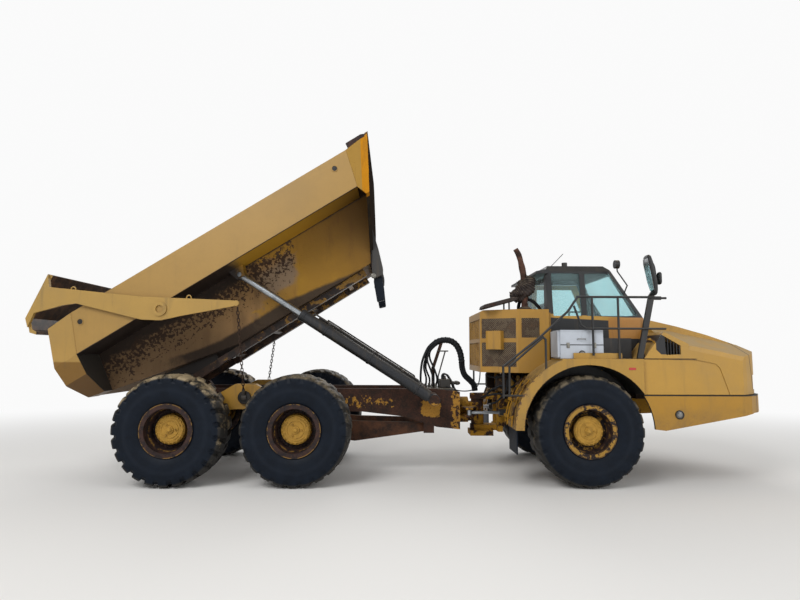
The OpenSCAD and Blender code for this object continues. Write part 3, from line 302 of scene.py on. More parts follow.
def hull_skin(f):
    """Colour and wear of the load body's plate: painted in front, rusted in the middle, caked brown aft.

    Paint ends at a slanted line, far - 0.6 * high, with a strip left above it and a tongue below, and it
    darkens towards the headboard as painted shade. Dark spots lie over the rust, and thin out with the
    distance below the rail. Painted shadow lies in a thin line under the rail's edge, in a broad band
    under the rail aft, and in a band along the bottom.
    """
    far, high = f.body_place()
    coarse = f.noise(0.9, 5, 0.6)
    middle = f.noise(3.2, 8, 0.72, swirl=0.5)
    spots = f.noise(19, 5, 0.65)
    fine = f.noise(60, 6, 0.7)
    streak = f.noise(5, 5, 0.65, stretch=(1, 1, 0.2))
    wobble = (middle - 0.5) * 1.5
    front = f.between(far - high * 0.6 + wobble * 0.3, 2.26, 2.42)
    tongue = f.between(far - high * 0.6 + wobble, 1.55, 1.75)
    tongue = tongue * f.between(high + wobble * 0.1, 0.46, 0.38) * 0.8
    strip = f.between(high + far * 0.3 + wobble * 0.3, 1.66, 1.72) * f.between(far, 1.84, 1.95)
    painted = f.most(front, tongue, strip)
    # Painted shade: the paint darkens towards the headboard.
    paint = f.mix(f.between(far + high * 0.35, 2.6, 4.5), (0.36, 0.185, 0.012), (0.13, 0.060, 0.006))
    paint = f.mix(f.between(coarse, 0.42, 0.62) * 0.35, paint, (0.15, 0.075, 0.010))
    paint = f.mix(f.between(streak, 0.5, 0.72) * 0.4, paint, (0.10, 0.040, 0.008))
    metal = f.mix(f.between(far + wobble * 0.6, 0.2, 2.2), (0.150, 0.092, 0.045), (0.27, 0.155, 0.060))
    metal = f.mix(f.between(streak, 0.42, 0.68) * 0.5, metal, (0.090, 0.052, 0.026))
    metal = f.mix(f.between(fine, 0.5, 0.72) * 0.35, metal, RUST_PALE)
    smear = f.band(far, 2.05, 2.75, 0.16) * f.band(high, 0.36, 0.84, 0.08)
    smear = smear * f.between(coarse, 0.3, 0.55) * 0.6
    metal = f.mix(smear, metal, (0.21, 0.165, 0.125))
    skin = f.mix(painted, metal, paint)
    depth = 1.09 - high
    dense = 0.445 + f.between(depth, 0.10, 1.0) * 0.21 + front * 0.16 + strip * 0.06
    speckle = f.between(spots * 0.8 + middle * 0.2 - dense, 0.0, 0.025)
    skin = f.mix(speckle * 0.93, skin, (0.026, 0.013, 0.008))
    # Painted shadow, near black: a broad band under the rail aft, a thin line right under its edge, and a
    # band along the bottom.
    band = f.between(depth + wobble * 0.35, 0.23, 0.13) * f.between(far, 1.95, 1.8) * 0.95
    edge = f.between(depth + wobble * 0.03, 0.045, 0.02) * 0.9
    level = high - f.between(far, 1.17, -1.3) * 0.5 + f.between(far, 2.0, 4.0) * 0.22 + wobble * 0.06
    low = f.between(level, 0.25, 0.19) * f.between(far + wobble, -0.1, 0.5) * 0.93
    skin = f.mix(f.most(band, edge, low), skin, (0.022, 0.014, 0.010))
    return skin, fine + spots * 0.9 + painted * 0.5, painted


def hull_plate():
    """Load body's plate, scoured brown on the faces that look inward or up."""
    f = Finish("hull_plate")
    skin, relief, painted = hull_skin(f)
    streak = f.between(f.noise(4, 6, 0.7, stretch=(1, 1, 0.3)), 0.4, 0.65)
    scoured = f.mix(streak, (0.12, 0.082, 0.050), (0.060, 0.040, 0.026))
    skin = f.mix(f.most(f.inner(-0.03, -0.15), f.between(f.upward(), 0.1, 0.5)) * 0.85, skin, scoured)
    f.bump(relief, 0.003)
    return f.set(base_color=skin, roughness=0.85 - painted * 0.3, specular_ior_level=0.3)


def below_rails(f, skin):
    """Below the rails' lower edge: painted shade on their underside and brackets, the sills rusty like the
    hull.
    """
    far, high = f.body_place()
    under = f.between(high, 1.088, 1.078)
    sill = f.between(high, 0.035, 0.015)
    middle = f.noise(5.0, 8, 0.72, swirl=0.5)
    fine = f.noise(60, 6, 0.7)
    rust = f.mix(f.between(middle, 0.4, 0.6), (0.020, 0.012, 0.009), (0.070, 0.034, 0.018))
    kept = f.between(middle + far * 0.045, 0.63, 0.66)
    paint = f.mix(f.between(fine, 0.5, 0.7), (0.28, 0.14, 0.012), (0.40, 0.25, 0.11))
    rust = f.mix(kept * sill, rust, paint)
    # Painted shade on the underside: near black aft, and ahead the paint darkens towards the headboard.
    ahead = f.between(far + middle * 0.3, 1.95, 2.25) * f.beside(1.515, 1.495)
    paint = f.mix(f.between(far, 2.6, 4.3), (0.42, 0.22, 0.015), (0.20, 0.10, 0.010))
    dark = f.mix(ahead, (0.018, 0.012, 0.010), paint)
    seam = f.band(far - high * 0.371, 3.918, 3.930, 0.002)
    skin = f.mix(seam * f.beside(1.53, 1.535), skin, (0.05, 0.03, 0.01))
    under = under * f.beside(1.549, 1.543)
    return f.mix(under, skin, f.mix(sill, dark, rust))


def gate_inside(f, skin):
    """Rusty brown on the tailgate's inner faces, which look forward or up between its arms."""
    inner = f.most(f.looks((1, 0, 0), 0.05, 0.2), f.looks((0, 0, 1), 0.3, 0.6)) * f.beside(1.549, 1.543)
    rust = f.mix(f.between(f.noise(7, 7, 0.7), 0.4, 0.65), (0.030, 0.018, 0.013), (0.115, 0.058, 0.030))
    return f.mix(inner, skin, rust)


def arch_shade(f, skin):
    """Black underseal and painted shade on the faces that look at the front axle from inside its arch,
    or at the middle.
    """
    facing = f.vector("DOT_PRODUCT", f.normal(), f.vector("NORMALIZE", f.off_axle(FRONT_X)))
    inside = f.between(facing, -0.25, -0.5) * f.between(f.from_axle(FRONT_X), 1.85, 1.75)
    inward = f.inner(-0.3, -0.6) * f.between(f.axis("Z"), 1.97, 1.94)
    # Painted shade over the underseal: the arch's inside and the inner faces go near black.
    return f.mix(f.most(inside, inward), skin, SHADOW)


def tail_areas(f, colour):
    """Dark steel on the tail band's faces that look forward, and deep mustard on its lower plates."""
    far, high = f.body_place()
    inner = f.looks(FAR_WAY, 0.55, 0.75) * f.between(high, 1.35, 1.30)
    skin = f.mix(f.between(f.axis("Z"), 1.93, 1.90), colour, (0.20, 0.098, 0.010))
    return f.mix(inner, skin, (0.030, 0.027, 0.024))


def wall_areas(f, colour):
    """Orange on the headboard's side flanges, dark steel on its plate between them, painted shade in front.
    """
    far, high = f.body_place()
    flange = f.beside(1.49, 1.497) * f.between(high, 0.80, 0.81)
    bright = f.between(far - high * 0.555, 3.780, 3.792)
    plate = f.mix(f.between(high, 0.95, 1.05), (0.030, 0.028, 0.028), (0.13, 0.060, 0.014))
    skin = f.mix(flange, plate, f.mix(bright, TAN, colour))
    # Painted shade, near black, on the faces that look forward.
    return f.mix(f.looks(FAR_WAY, 0.6, 0.8), skin, (0.022, 0.018, 0.016))


def hood_areas(f, skin):
    """Painted shade in the air intake on the hood's side, inside six lines in X and Z, and underseal and
    painted shade on the inner faces.
    """
    x, z = f.axis("X") - FRONT_X, f.axis("Z")
    inside = f.between(z, 2.063, 2.069) * f.between(z, 2.388, 2.382)
    inside = inside * f.between(x, 1.085, 1.091) * f.between(x, 1.476, 1.470)
    inside = inside * f.between(z + x * 0.585, 3.072, 3.066) * f.between(x + z * 1.04, 3.312, 3.320)
    # Painted shade, near black, in the intake's opening.
    return arch_shade(f, f.mix(inside, skin, (0.010, 0.010, 0.012)))


def arch_rust(f, colour):
    """Rusty spots along the mudguard's rear and lower edges."""
    x = f.axis("X")
    rear = f.between(x, FRONT_X - 0.55, FRONT_X - 0.95)
    radius = f.from_axle(FRONT_X)
    rim = f.most(f.band(radius, 1.155, 1.20, 0.008), f.band(radius, 1.00, 1.045, 0.006))
    spots = f.between(f.noise(13, 6, 0.7) + rim * 0.10, 0.60, 0.63)
    return f.mix(spots * rear, colour, RUST)


def hood_seams(f):
    """Dark gap above the side panel and down the nose's front corner."""
    x, z = f.axis("X"), f.axis("Z")
    side = f.beside(1.45, 1.47)
    top = f.band(z, 1.988, 2.002, 0.002) * f.between(x, FRONT_X + 1.75, FRONT_X + 1.70)
    nose = f.band(x + z * 0.15, FRONT_X + 2.941, FRONT_X + 2.955, 0.002)
    return f.most(side * top, nose)


def bumper_seams(f):
    """Dark gap under the hood, and the one between the bumper's side and its front."""
    x, z = f.axis("X"), f.axis("Z")
    return f.most(f.between(z, 1.412, 1.418), f.band(x, FRONT_X + 2.748, FRONT_X + 2.760, 0.002))


def rubber(name, colour=(0.0035, 0.0062, 0.0115), mud=0.5, axle=None):
    """Rubber with dust in its grain, and rings about the axle where it has one."""
    f = Finish(name)
    middle = f.noise(5, 7, 0.65)
    fine = f.noise(70, 5, 0.6)
    skin = f.mix(f.between(middle, 0.3, 0.75), colour, tuple(c * 1.6 for c in colour))
    relief = fine * 0.4
    if axle is None:
        skin = f.mix(f.between(fine, 0.5, 0.8) * (mud * 0.4), skin, MUD)
    else:
        radius = f.from_axle(AXLE_X[axle])
        rings = f.math("SINE", radius * 260)
        side = f.between(radius, TYRE_R - 0.10, TYRE_R - 0.13)
        relief = relief + rings * side * 0.05
        tread = f.between(radius, TYRE_R - 0.075, TYRE_R - 0.04)
        skin = f.mix(f.band(radius, 0.60, 0.66, 0.03) * 0.35, skin, (0.013, 0.018, 0.028))
        skin = f.mix(tread * 0.75, skin, (0.034, 0.031, 0.026))
        caked = tread * f.between(middle + f.axis("Z") * 0.16, 0.66, 0.84) * mud
        skin = f.mix(caked, skin, DUST)
        skin = f.mix(f.between(middle, 0.58, 0.8) * side * 0.18, skin, (0.020, 0.022, 0.024))
    f.bump(relief, 0.002)
    return f.set(base_color=skin, roughness=0.55, specular_ior_level=0.16)


def wheel_steel(axle, hub_reach, colour=YELLOW):
    """Rim and hub: bands by the distance from the axle, rusty in the dish and painted on the hub."""
    f = Finish(f"rim_{axle}")
    radius = f.from_axle(AXLE_X[axle])
    middle = f.noise(9, 8, 0.7)
    fine = f.noise(60, 6, 0.7)
    metal = f.mix(f.between(middle, 0.38, 0.66), (0.009, 0.006, 0.007), (0.045, 0.019, 0.014))
    metal = f.mix(f.between(fine, 0.52, 0.75) * 0.45, metal, (0.13, 0.060, 0.030))
    hub = f.between(radius, hub_reach + 0.012, hub_reach - 0.004)
    flange = f.band(radius, 0.404, 0.415, 0.004) * f.between(middle, 0.46, 0.56) * 0.7
    rings = f.band(radius, 0.325, 0.334, 0.004) * f.between(middle, 0.48, 0.56) * 0.6
    bright = f.most(hub, flange * 0.75, rings)
    if axle == "front":
        for low, high, patchy, share in ((0.345, 0.40, (0.47, 0.53), 0.9), (0.20, 0.31, (0.50, 0.55), 0.8)):
            left = f.band(radius, low, high, 0.004) * f.between(middle, *patchy) * share
            bright = f.most(bright, left)
    worn = middle * 0.6 + fine * 0.4 + f.edges(0.006) * 0.12
    chips = f.between(worn, 0.60, 0.64)
    paint = f.mix(f.between(middle, 0.3, 0.7), colour, tuple(c * 0.72 for c in colour))
    skin = f.mix(bright * (1.0 - chips * 0.9), metal, paint)
    f.bump(fine + middle * 0.5, 0.002)
    return f.set(base_color=skin, roughness=0.65, metallic=0.05, specular_ior_level=0.35)


def bright_metal(name, colour=(0.42, 0.45, 0.48), rough=0.2):
    """Ground steel with fine scratches and oily smears."""
    f = Finish(name)
    smear = f.noise(6, 5, 0.6)
    scratch = f.noise(220, 3, 0.5, stretch=(0.15, 1, 1))
    skin = f.mix(f.between(smear, 0.4, 0.75), colour, tuple(c * 0.55 for c in colour))
    f.bump(scratch, 0.0004)
    return f.set(base_color=skin, roughness=rough + smear * 0.25, metallic=1.0)


def tinted_glass(name):
    """Thin tinted glass with a film of dust."""
    f = Finish(name)
    film = f.between(f.noise(3, 6, 0.7), 0.5, 0.9)
    return f.set(base_color=f.mix(film * 0.3, (0.66, 0.86, 0.88), DUST),
                 roughness=0.04, transmission_weight=0.92, ior=1.12)


def lamp_glass(name, colour, deep):
    """Clear or coloured lens over fine ribs."""
    f = Finish(name)
    ribs = f.math("SINE", f.axis("Y") * 420)
    skin = f.mix(f.between(ribs, -0.4, 0.8), colour, deep)
    f.bump(ribs, 0.0012)
    return f.set(base_color=skin, roughness=0.12, coat_weight=0.6)


def cab_areas(f, colour):
    """Black cab with a yellow strip under its windows, a yellow rear post and an orange cowl in front."""
    x, z = f.axis("X"), f.axis("Z")
    side = f.beside(0.865, 0.88)
    strip = f.band(z + x * 0.048, 2.806, 2.872, 0.004)
    cowl = f.band(x, 3.49, 4.12, 0.004) * f.band(z, 2.33, 2.69, 0.004)
    post = f.band(x, 2.40, 2.505, 0.004) * f.between(z, 2.78, 2.76)
    skin = f.mix(side * strip, colour, YELLOW)
    skin = f.mix(side * cowl, skin, (0.44, 0.20, 0.035))
    skin = f.mix(side * post, skin, ORANGE)
    box = f.beside(0.905, 0.91)
    return f.mix(box * f.between(z, 2.34, 2.335), skin, (0.03, 0.03, 0.032))


def frame_patches(f):
    """Where paint is left on the rear frame: a row behind the hoist, a big patch, the casting, the arm."""
    x, z = f.axis("X"), f.axis("Z")
    row = f.band(x, -1.15, -0.10, 0.12) * f.band(z, 1.10, 1.34, 0.06) * 0.165
    big = f.band(x, 0.30, 0.66, 0.06) * f.band(z, 0.96, 1.26, 0.06) * 0.25
    casting = f.between(x, 0.72, 0.90) * 0.20
    arm = f.between(z, 0.92, 0.86) * f.band(x, -1.1, 0.3, 0.2) * 0.14
    return f.most(row, big, casting, arm) - 0.10


def cover(material, *names):
    """Gives nodes of the CAD model their material."""
    for name in names:
        nodes[name].data.materials.clear()
        nodes[name].data.materials.append(material)


cover(worn_paint("hood_paint", YELLOW, rust=0.10, dust=0.30, grime=0.15, over=hood_areas, seams=hood_seams),
      "hood")
cover(worn_paint("bumper_paint", ORANGE, rust=0.16, dust=0.15, grime=0.3, over=arch_shade,
                 seams=bumper_seams), "bumper")
cover(worn_paint("fender_paint", (0.42, 0.235, 0.036), rust=0.28, dust=0.2, grime=0.35, areas=arch_rust,
                 over=arch_shade), "fenders")
cover(worn_paint("housing_paint", (0.40, 0.21, 0.028), rust=0.22, dust=0.2), "cooler_housing")
cover(worn_paint("door_paint", YELLOW, rust=0.15, dust=0.15), "cab_door")
cover(worn_paint("rail_black", BLACK, rust=0.22, dust=0.1, fade=0.3), "handrails", "mirrors")
cover(worn_paint("dump_paint", TAN, rust=0.08, dust=0.10, grime=0.10, over=below_rails), "body_rails")
cover(worn_paint("gate_paint", (0.40, 0.242, 0.055), rust=0.14, dust=0.18, grime=0.3, over=gate_inside),
      "tailgate")
cover(worn_paint("band_paint", (0.39, 0.232, 0.055), rust=0.16, dust=0.18, grime=0.3, areas=tail_areas),
      "tail_band")
cover(worn_paint("beam_paint", (0.42, 0.225, 0.03), rust=0.26, dust=0.12), "walking_beams")
cover(worn_paint("wall_orange", (0.50, 0.21, 0.015), rust=0.42, dust=0.1, areas=wall_areas, shine=0.0),
      "front_wall")
cover(hull_plate(), "body_shell")
cover(rusty_plate("frame_steel", left=(0.42, 0.21, 0.03), paint_left=0.30, dust=0.05, patches=frame_patches,
                  metal_tint=(0.050, 0.020, 0.012)), "rear_frame")
cover(rusty_plate("hitch_iron", left=ORANGE, paint_left=0.5, dust=0.1), "front_frame", "hitch_casting",
      "gate_chains")
cover(rusty_plate("axle_iron", left=(0.25, 0.15, 0.05), paint_left=0.2, dust=0.1), "front_axle", "rear_axles")
cover(rusty_plate("core_brown", left=(0.05, 0.035, 0.02), paint_left=0.3, dust=0.1,
                  metal_tint=(0.045, 0.028, 0.018)), "engine_block")
cover(rusty_plate("pipe_rust", left=(0.16, 0.09, 0.06), paint_left=0.3, dust=0.1,
                  metal_tint=(0.10, 0.045, 0.03)), "exhaust_stack")
for axle, hub_reach in (("front", 0.225), ("mid", 0.236), ("rear", 0.236)):
    cover(wheel_steel(axle, hub_reach), f"rim_{axle}_left", f"rim_{axle}_right")
cover(rubber("flap_rubber", mud=0.3), "hose_bundle", "mudflaps", "body_flap")
cover(worn_paint("cab_black", BLACK, rust=0.04, dust=0.16, fade=0.3, chips=0.6, areas=cab_areas), "cab_shell")
cover(worn_paint("grille_black", BLACK, rust=0.1, dust=0.12), "front_grille")
cover(worn_paint("box_white", (0.50, 0.54, 0.60), rust=0.06, dust=0.15), "tool_box")
cover(worn_paint("barrel_black", (0.010, 0.012, 0.016), rust=0.10, dust=0.05), "steer_barrel_left",
      "steer_barrel_right", "hoist_barrels")
cover(bright_metal("rod_chrome"), "steer_rod_left", "steer_rod_right", "hoist_rods")
cover(tinted_glass("cab_glass"), "cab_glass", "door_glass")
cover(rubber("seat_cloth", (0.02, 0.02, 0.024)), "cab_seat")

# Finishes of what the scene adds
for axle, mud in (("front", 0.35), ("mid", 0.35), ("rear", 0.9)):
    rubber(f"tyre_rubber_{axle}", mud=mud, axle=axle)
rubber("hose_rubber", (0.010, 0.011, 0.013), mud=0.25)
bright_metal("fitting_zinc", (0.30, 0.29, 0.26), rough=0.4)
bright_metal("mirror_silver", (0.80, 0.82, 0.84), 0.06)
lamp_glass("lens_clear", (0.20, 0.19, 0.17), (0.08, 0.08, 0.08))
lamp_glass("lens_red", (0.45, 0.03, 0.02), (0.25, 0.01, 0.01))
rusty_plate("chain_steel", left=(0.10, 0.085, 0.07), paint_left=0.4, dust=0.1, metal_tint=(0.05, 0.03, 0.02))
rusty_plate("engine_grey", left=(0.16, 0.085, 0.020), paint_left=0.30, dust=0.15,
            metal_tint=(0.035, 0.022, 0.014))
rusty_plate("shield_rust", left=(0.030, 0.027, 0.026), paint_left=0.62, dust=0.25,
            metal_tint=(0.09, 0.035, 0.02))
worn_paint("guard_steel", (0.034, 0.032, 0.030), rust=0.3, dust=0.12)
# Flat near black: the side lamps' rings, the beams' pin caps and the tool box's lid gap, and painted shade in
# the rail holes, the exhaust's bore, the arch liners and behind the hood's bars.
worn_paint("black_and_shade", (0.004, 0.004, 0.004), rust=0.05, dust=0.05)
worn_paint("filter_paint", (0.30, 0.17, 0.03), rust=0.35, dust=0.2, grime=0.5)
worn_paint("mesh_wire", (0.17, 0.115, 0.060), rust=0.3, dust=0.1)
worn_paint("mesh_shade", (0.005, 0.005, 0.005), rust=0.04, dust=0.0)


def full_turn(count):
    """Angles evenly round a circle."""
    return np.arange(count) / count * 2 * np.pi


def arc(x, y, z, reach, angles):
    """Points about (x, y, z) at the angles, in an upright plane: x + reach * cos, y, z + reach * sin."""
    return np.stack([x + reach * np.cos(angles), np.full(len(angles), y), z + reach * np.sin(angles)], 1)


def unit(vectors):
    """Each vector scaled to a length of 1: v / |v|."""
    return vectors / np.maximum(np.linalg.norm(vectors, axis=-1, keepdims=True), 1e-12)


def ease(value, low, high):
    """0 below low, 1 above high, smooth in between."""
    t = np.clip((value - low) / (high - low), 0, 1)
    return t * t * (3 - 2 * t)


def grid(points, loop=True, ring=False, caps=True):
    """Skin over a grid of points, rows by columns: a four-cornered face between each two rows and columns.

    loop joins the last column to the first, ring the last row to the first, and caps close the end rows.
    """
    points = np.asarray(points, float)
    rows, columns = points.shape[:2]
    row = np.arange(rows if ring else rows - 1)[:, None]
    column = np.arange(columns if loop else columns - 1)[None, :]
    up, across = (row + 1) % rows, (column + 1) % columns
    corners = [row * columns + column, row * columns + across, up * columns + across, up * columns + column]
    faces = [np.stack(corners, -1).reshape(-1, 4)]
    if loop and caps and not ring:
        faces += [np.arange(columns)[None, ::-1], (rows - 1) * columns + np.arange(columns)[None, :]]
    part = points.reshape(-1, 3), faces
    return outward(part) if loop and (caps or ring) else part


def outward(part):
    """Turns every face round when the volume inside, summed over the faces' fans, comes out negative."""
    points, faces = part
    volume = 0.0
    for block in faces:
        corner = points[block]
        for k in range(1, block.shape[1] - 1):
            volume += np.einsum("ij,ij->", corner[:, 0], np.cross(corner[:, k], corner[:, k + 1]))
    return (points, [block[:, ::-1] for block in faces]) if volume < 0 else part


def joined(*parts):
    """One part from several."""
    starts = np.cumsum([0] + [len(points) for points, faces in parts])
    return (np.concatenate([points for points, faces in parts]),
            [block + start for (points, faces), start in zip(parts, starts) for block in faces])


def copies(part, places, turns=None):
    """The part once at each place, turned by the matrix of that place when turns are given."""
    points, faces = part
    places = np.asarray(places, float)
    turns = np.broadcast_to(np.eye(3), (len(places), 3, 3)) if turns is None else turns
    spread = np.einsum("kij,nj->kni", turns, points) + places[:, None]
    shift = (np.arange(len(places)) * len(points))[:, None, None]
    return spread.reshape(-1, 3), [(block[None] + shift).reshape(-1, block.shape[1]) for block in faces]


def moved(part, scale, place=(0, 0, 0)):
    """The part scaled or mirrored along X, Y and Z, then moved."""
    return outward((part[0] * scale + np.asarray(place, float), part[1]))


def mirrored(*parts):
    """The parts and their twins on the other side of the truck."""
    part = joined(*parts)
    return joined(part, (part[0] * (1, -1, 1), [block[:, ::-1] for block in part[1]]))


def about_z(angles):
    """Matrices that turn about Z by each angle."""
    c, s, o, l = np.cos(angles), np.sin(angles), np.zeros_like(angles), np.ones_like(angles)
    return np.moveaxis(np.array([[c, -s, o], [s, c, o], [o, o, l]]), 2, 0)


def curve_through(points, count):
    """Evenly spaced points on the Catmull-Rom curve through the given ones."""
    points = np.asarray(points, float)
    p = np.concatenate([2 * points[:1] - points[1:2], points, 2 * points[-1:] - points[-2:-1]])
    t = np.linspace(0, 1, 24, endpoint=False)[None, :, None]
    a, b, c, d = (p[k:len(p) - 3 + k, None] for k in range(4))
    dense = 2 * b + (c - a) * t + (2 * a - 5 * b + 4 * c - d) * t ** 2 + (3 * b - a - 3 * c + d) * t ** 3
    dense = np.concatenate([0.5 * dense.reshape(-1, points.shape[1]), points[-1:]])
    run = np.concatenate([[0], np.cumsum(np.linalg.norm(np.diff(dense, axis=0), axis=1))])
    wanted = np.linspace(0, run[-1], count)
    return np.stack([np.interp(wanted, run, dense[:, k]) for k in range(points.shape[1])], 1)


def length_of(path):
    """Sum of the distances from each point of a path to the next."""
    return float(np.linalg.norm(np.diff(path, axis=0), axis=1).sum())


def tube(path, radius, sides=12, across=(0, 1, 0)):
    """Circle carried along a path: centre + radius * (cos * first + sin * second), both square to the path.

    radius is one number, one for each point of the path, or one for each point and side.
    """
    path = np.asarray(path, float)
    ahead = unit(np.gradient(path, axis=0))
    first = unit(np.cross(across, ahead))
    second = np.cross(ahead, first)
    turn = full_turn(sides)[None, :, None]
    radius = np.reshape(radius, np.shape(radius) + (1,) * (3 - np.ndim(radius)))
    return grid(path[:, None] + radius * (np.cos(turn) * first[:, None] + np.sin(turn) * second[:, None]))


def lathe(profile, sides, centre=(0, 0, 0), axis="y"):
    """Profile of (along, out) turned about a line through the centre along an axis."""
    along, out = np.asarray(profile, float).T
    turn = full_turn(sides)
    u, v = out[:, None] * np.cos(turn), out[:, None] * np.sin(turn)
    w = np.broadcast_to(along[:, None], u.shape)
    order = {"x": (w, u, v), "y": (u, w, v), "z": (u, v, w)}[axis]
    return grid(np.stack(order, -1) + np.asarray(centre, float))


def beam(start, end, wide, thick, across=(0, 1, 0)):
    """Bar from start to end with a rectangle for its section, whose corners are cut by a share of its size.

    wide is measured along across, thick square to it.
    """
    start, end = np.asarray(start, float), np.asarray(end, float)
    ahead = unit(end - start)
    side = unit(across - np.dot(across, ahead) * ahead)
    axes = np.array([side, np.cross(ahead, side)])
    w, t, cut = wide / 2, thick / 2, 0.15 * min(wide, thick)
    section = np.array([(w - cut, t), (w, t - cut), (w, cut - t), (w - cut, -t)])
    section = np.concatenate([section, -section])
    ring, tips = section @ axes, section * (1 - 2 * cut / wide, 1 - 2 * cut / thick) @ axes
    inset = ahead * min(cut, np.linalg.norm(end - start) * 0.2)
    return grid(np.stack([start + tips, start + inset + ring, end - inset + ring, end + tips]))


def slab(outline, low, high, axis="y", cut=0.003):
    """Flat plate: an outline drawn square to an axis, carried from low to high, its rim cut at both faces.

    The cut moves each corner towards the outline's middle.
    """
    outline = np.asarray(outline, float)
    middle = outline.mean(0)
    inner = outline + unit(middle - outline) * cut
    step = min(cut, abs(high - low) / 3)
    rows = [(inner, low), (outline, low + step), (outline, high - step), (inner, high)]
    levels = [np.concatenate([ring, np.full((len(ring), 1), level)], 1) for ring, level in rows]
    return grid(np.stack(levels)[..., {"y": (0, 2, 1), "x": (2, 0, 1)}[axis]])


def rounded(wide, tall, radius, middle=(0, 0), steps=5):
    """Outline of a rectangle with round corners, about its middle."""
    quarter = np.linspace(0, np.pi / 2, steps)
    arcs = [np.stack([sx * (wide / 2 - radius) + radius * np.cos(quarter + k * np.pi / 2),
                      sy * (tall / 2 - radius) + radius * np.sin(quarter + k * np.pi / 2)], 1)
            for k, (sx, sy) in enumerate(((1, 1), (-1, 1), (-1, -1), (1, -1)))]
    return np.concatenate(arcs) + middle


def box_bar(low, high, cut=0.006):
    """Block with cut corners between two corners."""
    (x0, y0, z0), (x1, y1, z1) = low, high
    cut = min(cut, (x1 - x0) / 3, (z1 - z0) / 3)
    return slab(rounded(x1 - x0, z1 - z0, cut, ((x0 + x1) / 2, (z0 + z1) / 2), 3), y0, y1, cut=cut)


def bead(path, size):
    """Weld bead: a low tube along the path, swollen by the ripples of each pass."""
    path = np.asarray(path, float)
    fine = curve_through(path, max(12, int(length_of(path) / 0.012)))
    swell = 1 + 0.16 * np.sin(np.arange(len(fine)) * 2.1)
    return tube(fine, size * swell, 6, across=(0.02, 1, 0.05))


def bolt(size, tall, axis="y"):
    """Hexagon head over a round washer, standing up along an axis from its foot."""
    head = lathe([(0, size), (tall * 0.85, size), (tall, size * 0.8)], 6, axis=axis)
    washer = lathe([(-0.002, size * 1.3), (tall * 0.2, size * 1.3), (tall * 0.25, size * 1.2)], 14, axis=axis)
    return joined(washer, head)


def on_body(points):
    """Points given in the load body's own frame, tipped about its pivot."""
    x, y, z = np.asarray(points, float).T
    c, s = math.cos(TIP_ANGLE), math.sin(TIP_ANGLE)
    return np.stack([TIP_X + x * c - z * s, y, TIP_Z + x * s + z * c], -1)


def tipped(part):
    """A part drawn in the load body's own frame, tipped about its pivot, with its faces looking out."""
    return outward((on_body(part[0]), part[1]))


def piece(name, part, body, finish, crease=35, replaces=None):
    """A mesh object from a part, smooth up to the crease angle, riding on a body.

    Parts are drawn with X from the front axle, and moved here to where the truck stands.
    """
    points, faces = part
    mesh = bpy.data.meshes.new(name)
    corners = [face for block in faces for face in block.tolist()]
    mesh.from_pydata((points + (FRONT_X, 0, 0)).tolist(), [], corners)
    mesh.shade_smooth()
    mesh.set_sharp_from_angle(angle=math.radians(crease))
    mesh.materials.append(bpy.data.materials[finish])
    made = bpy.data.objects.new(name, mesh)
    bpy.context.scene.collection.objects.link(made)
    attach(made, body)
    if replaces:
        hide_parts(replaces)
    return made


# Hoses over the steering pivot first, because the camera's view sets how far they may spread
HOSE_ARCH = [(-2.440, 0, 2.150), (-2.310, 0, 2.290), (-2.150, 0, 2.350), (-1.990, 0, 2.335),
             (-1.870, 0, 2.250), (-1.795, 0, 2.110), (-1.765, 0, 1.960), (-1.755, 0, 1.830),
             (-1.740, 0, 1.740), (-1.690, 0, 1.665), (-1.610, 0, 1.590), (-1.545, 0, 1.510),
             (-1.520, 0, 1.390)]
# Each hose's place in the bundle, sideways and in towards the middle, and its leg from the foot to the arch
HOSE_LEGS = [
    (0.0, 0.0, [(-2.560, 0, 1.480), (-2.560, 0, 1.700), (-2.530, 0, 1.930)]),
    (0.032, 0.0185, [(-2.555, 0.09, 1.480), (-2.550, 0.08, 1.700), (-2.520, 0.05, 1.930)]),
    (0.032, 0.0555, [(-2.400, 0.08, 1.447), (-2.390, 0.10, 1.600), (-2.460, 0.08, 1.820)]),
    (0.0, 0.074, [(-2.290, -0.05, 1.447), (-2.260, -0.06, 1.600), (-2.310, -0.07, 1.780),
                  (-2.390, -0.04, 1.970)]),
    (-0.032, 0.0555, [(-2.360, -0.12, 1.447), (-2.330, -0.15, 1.580), (-2.380, -0.13, 1.760),
                      (-2.440, -0.07, 1.950)]),
    (-0.032, 0.0185, [(-2.560, -0.10, 1.480), (-2.565, -0.10, 1.680), (-2.530, -0.06, 1.920)]),
    (0.0, 0.037, [(-2.470, -0.03, 1.447), (-2.460, -0.05, 1.620), (-2.500, -0.03, 1.840)])]
PILOT_HOSE = [(-2.110, -0.20, 1.470), (-2.060, -0.235, 1.455), (-1.960, -0.25, 1.420), (-1.860, -0.25, 1.400),
              (-1.775, -0.24, 1.395), (-1.700, -0.23, 1.400), (-1.633, -0.22, 1.416), (-1.570, -0.21, 1.450),
              (-1.525, -0.20, 1.510), (-1.500, -0.19, 1.600), (-1.488, -0.18, 1.700), (-1.485, -0.17, 1.800),
              (-1.490, -0.16, 1.900), (-1.495, -0.15, 1.990)]
HOSE_R, SLEEVE_R, PILOT_R = 0.018, 0.060, 0.010


def wrapped_hose(path, radius, pitch=0.035, wrap=0.06, sides=12):
    """Hose in a spiral guard: radius * (1 - wrap + wrap * ridge), ridge a wave that winds round it."""
    length = length_of(path)
    fine = curve_through(path, int(length / (pitch / 5)))
    run = np.linspace(0, length, len(fine))[:, None]
    ridge = ease(np.sin(run / pitch * 2 * np.pi - full_turn(sides)), -0.4, 0.5)
    return tube(fine, radius * (1 - wrap + wrap * ridge), sides)


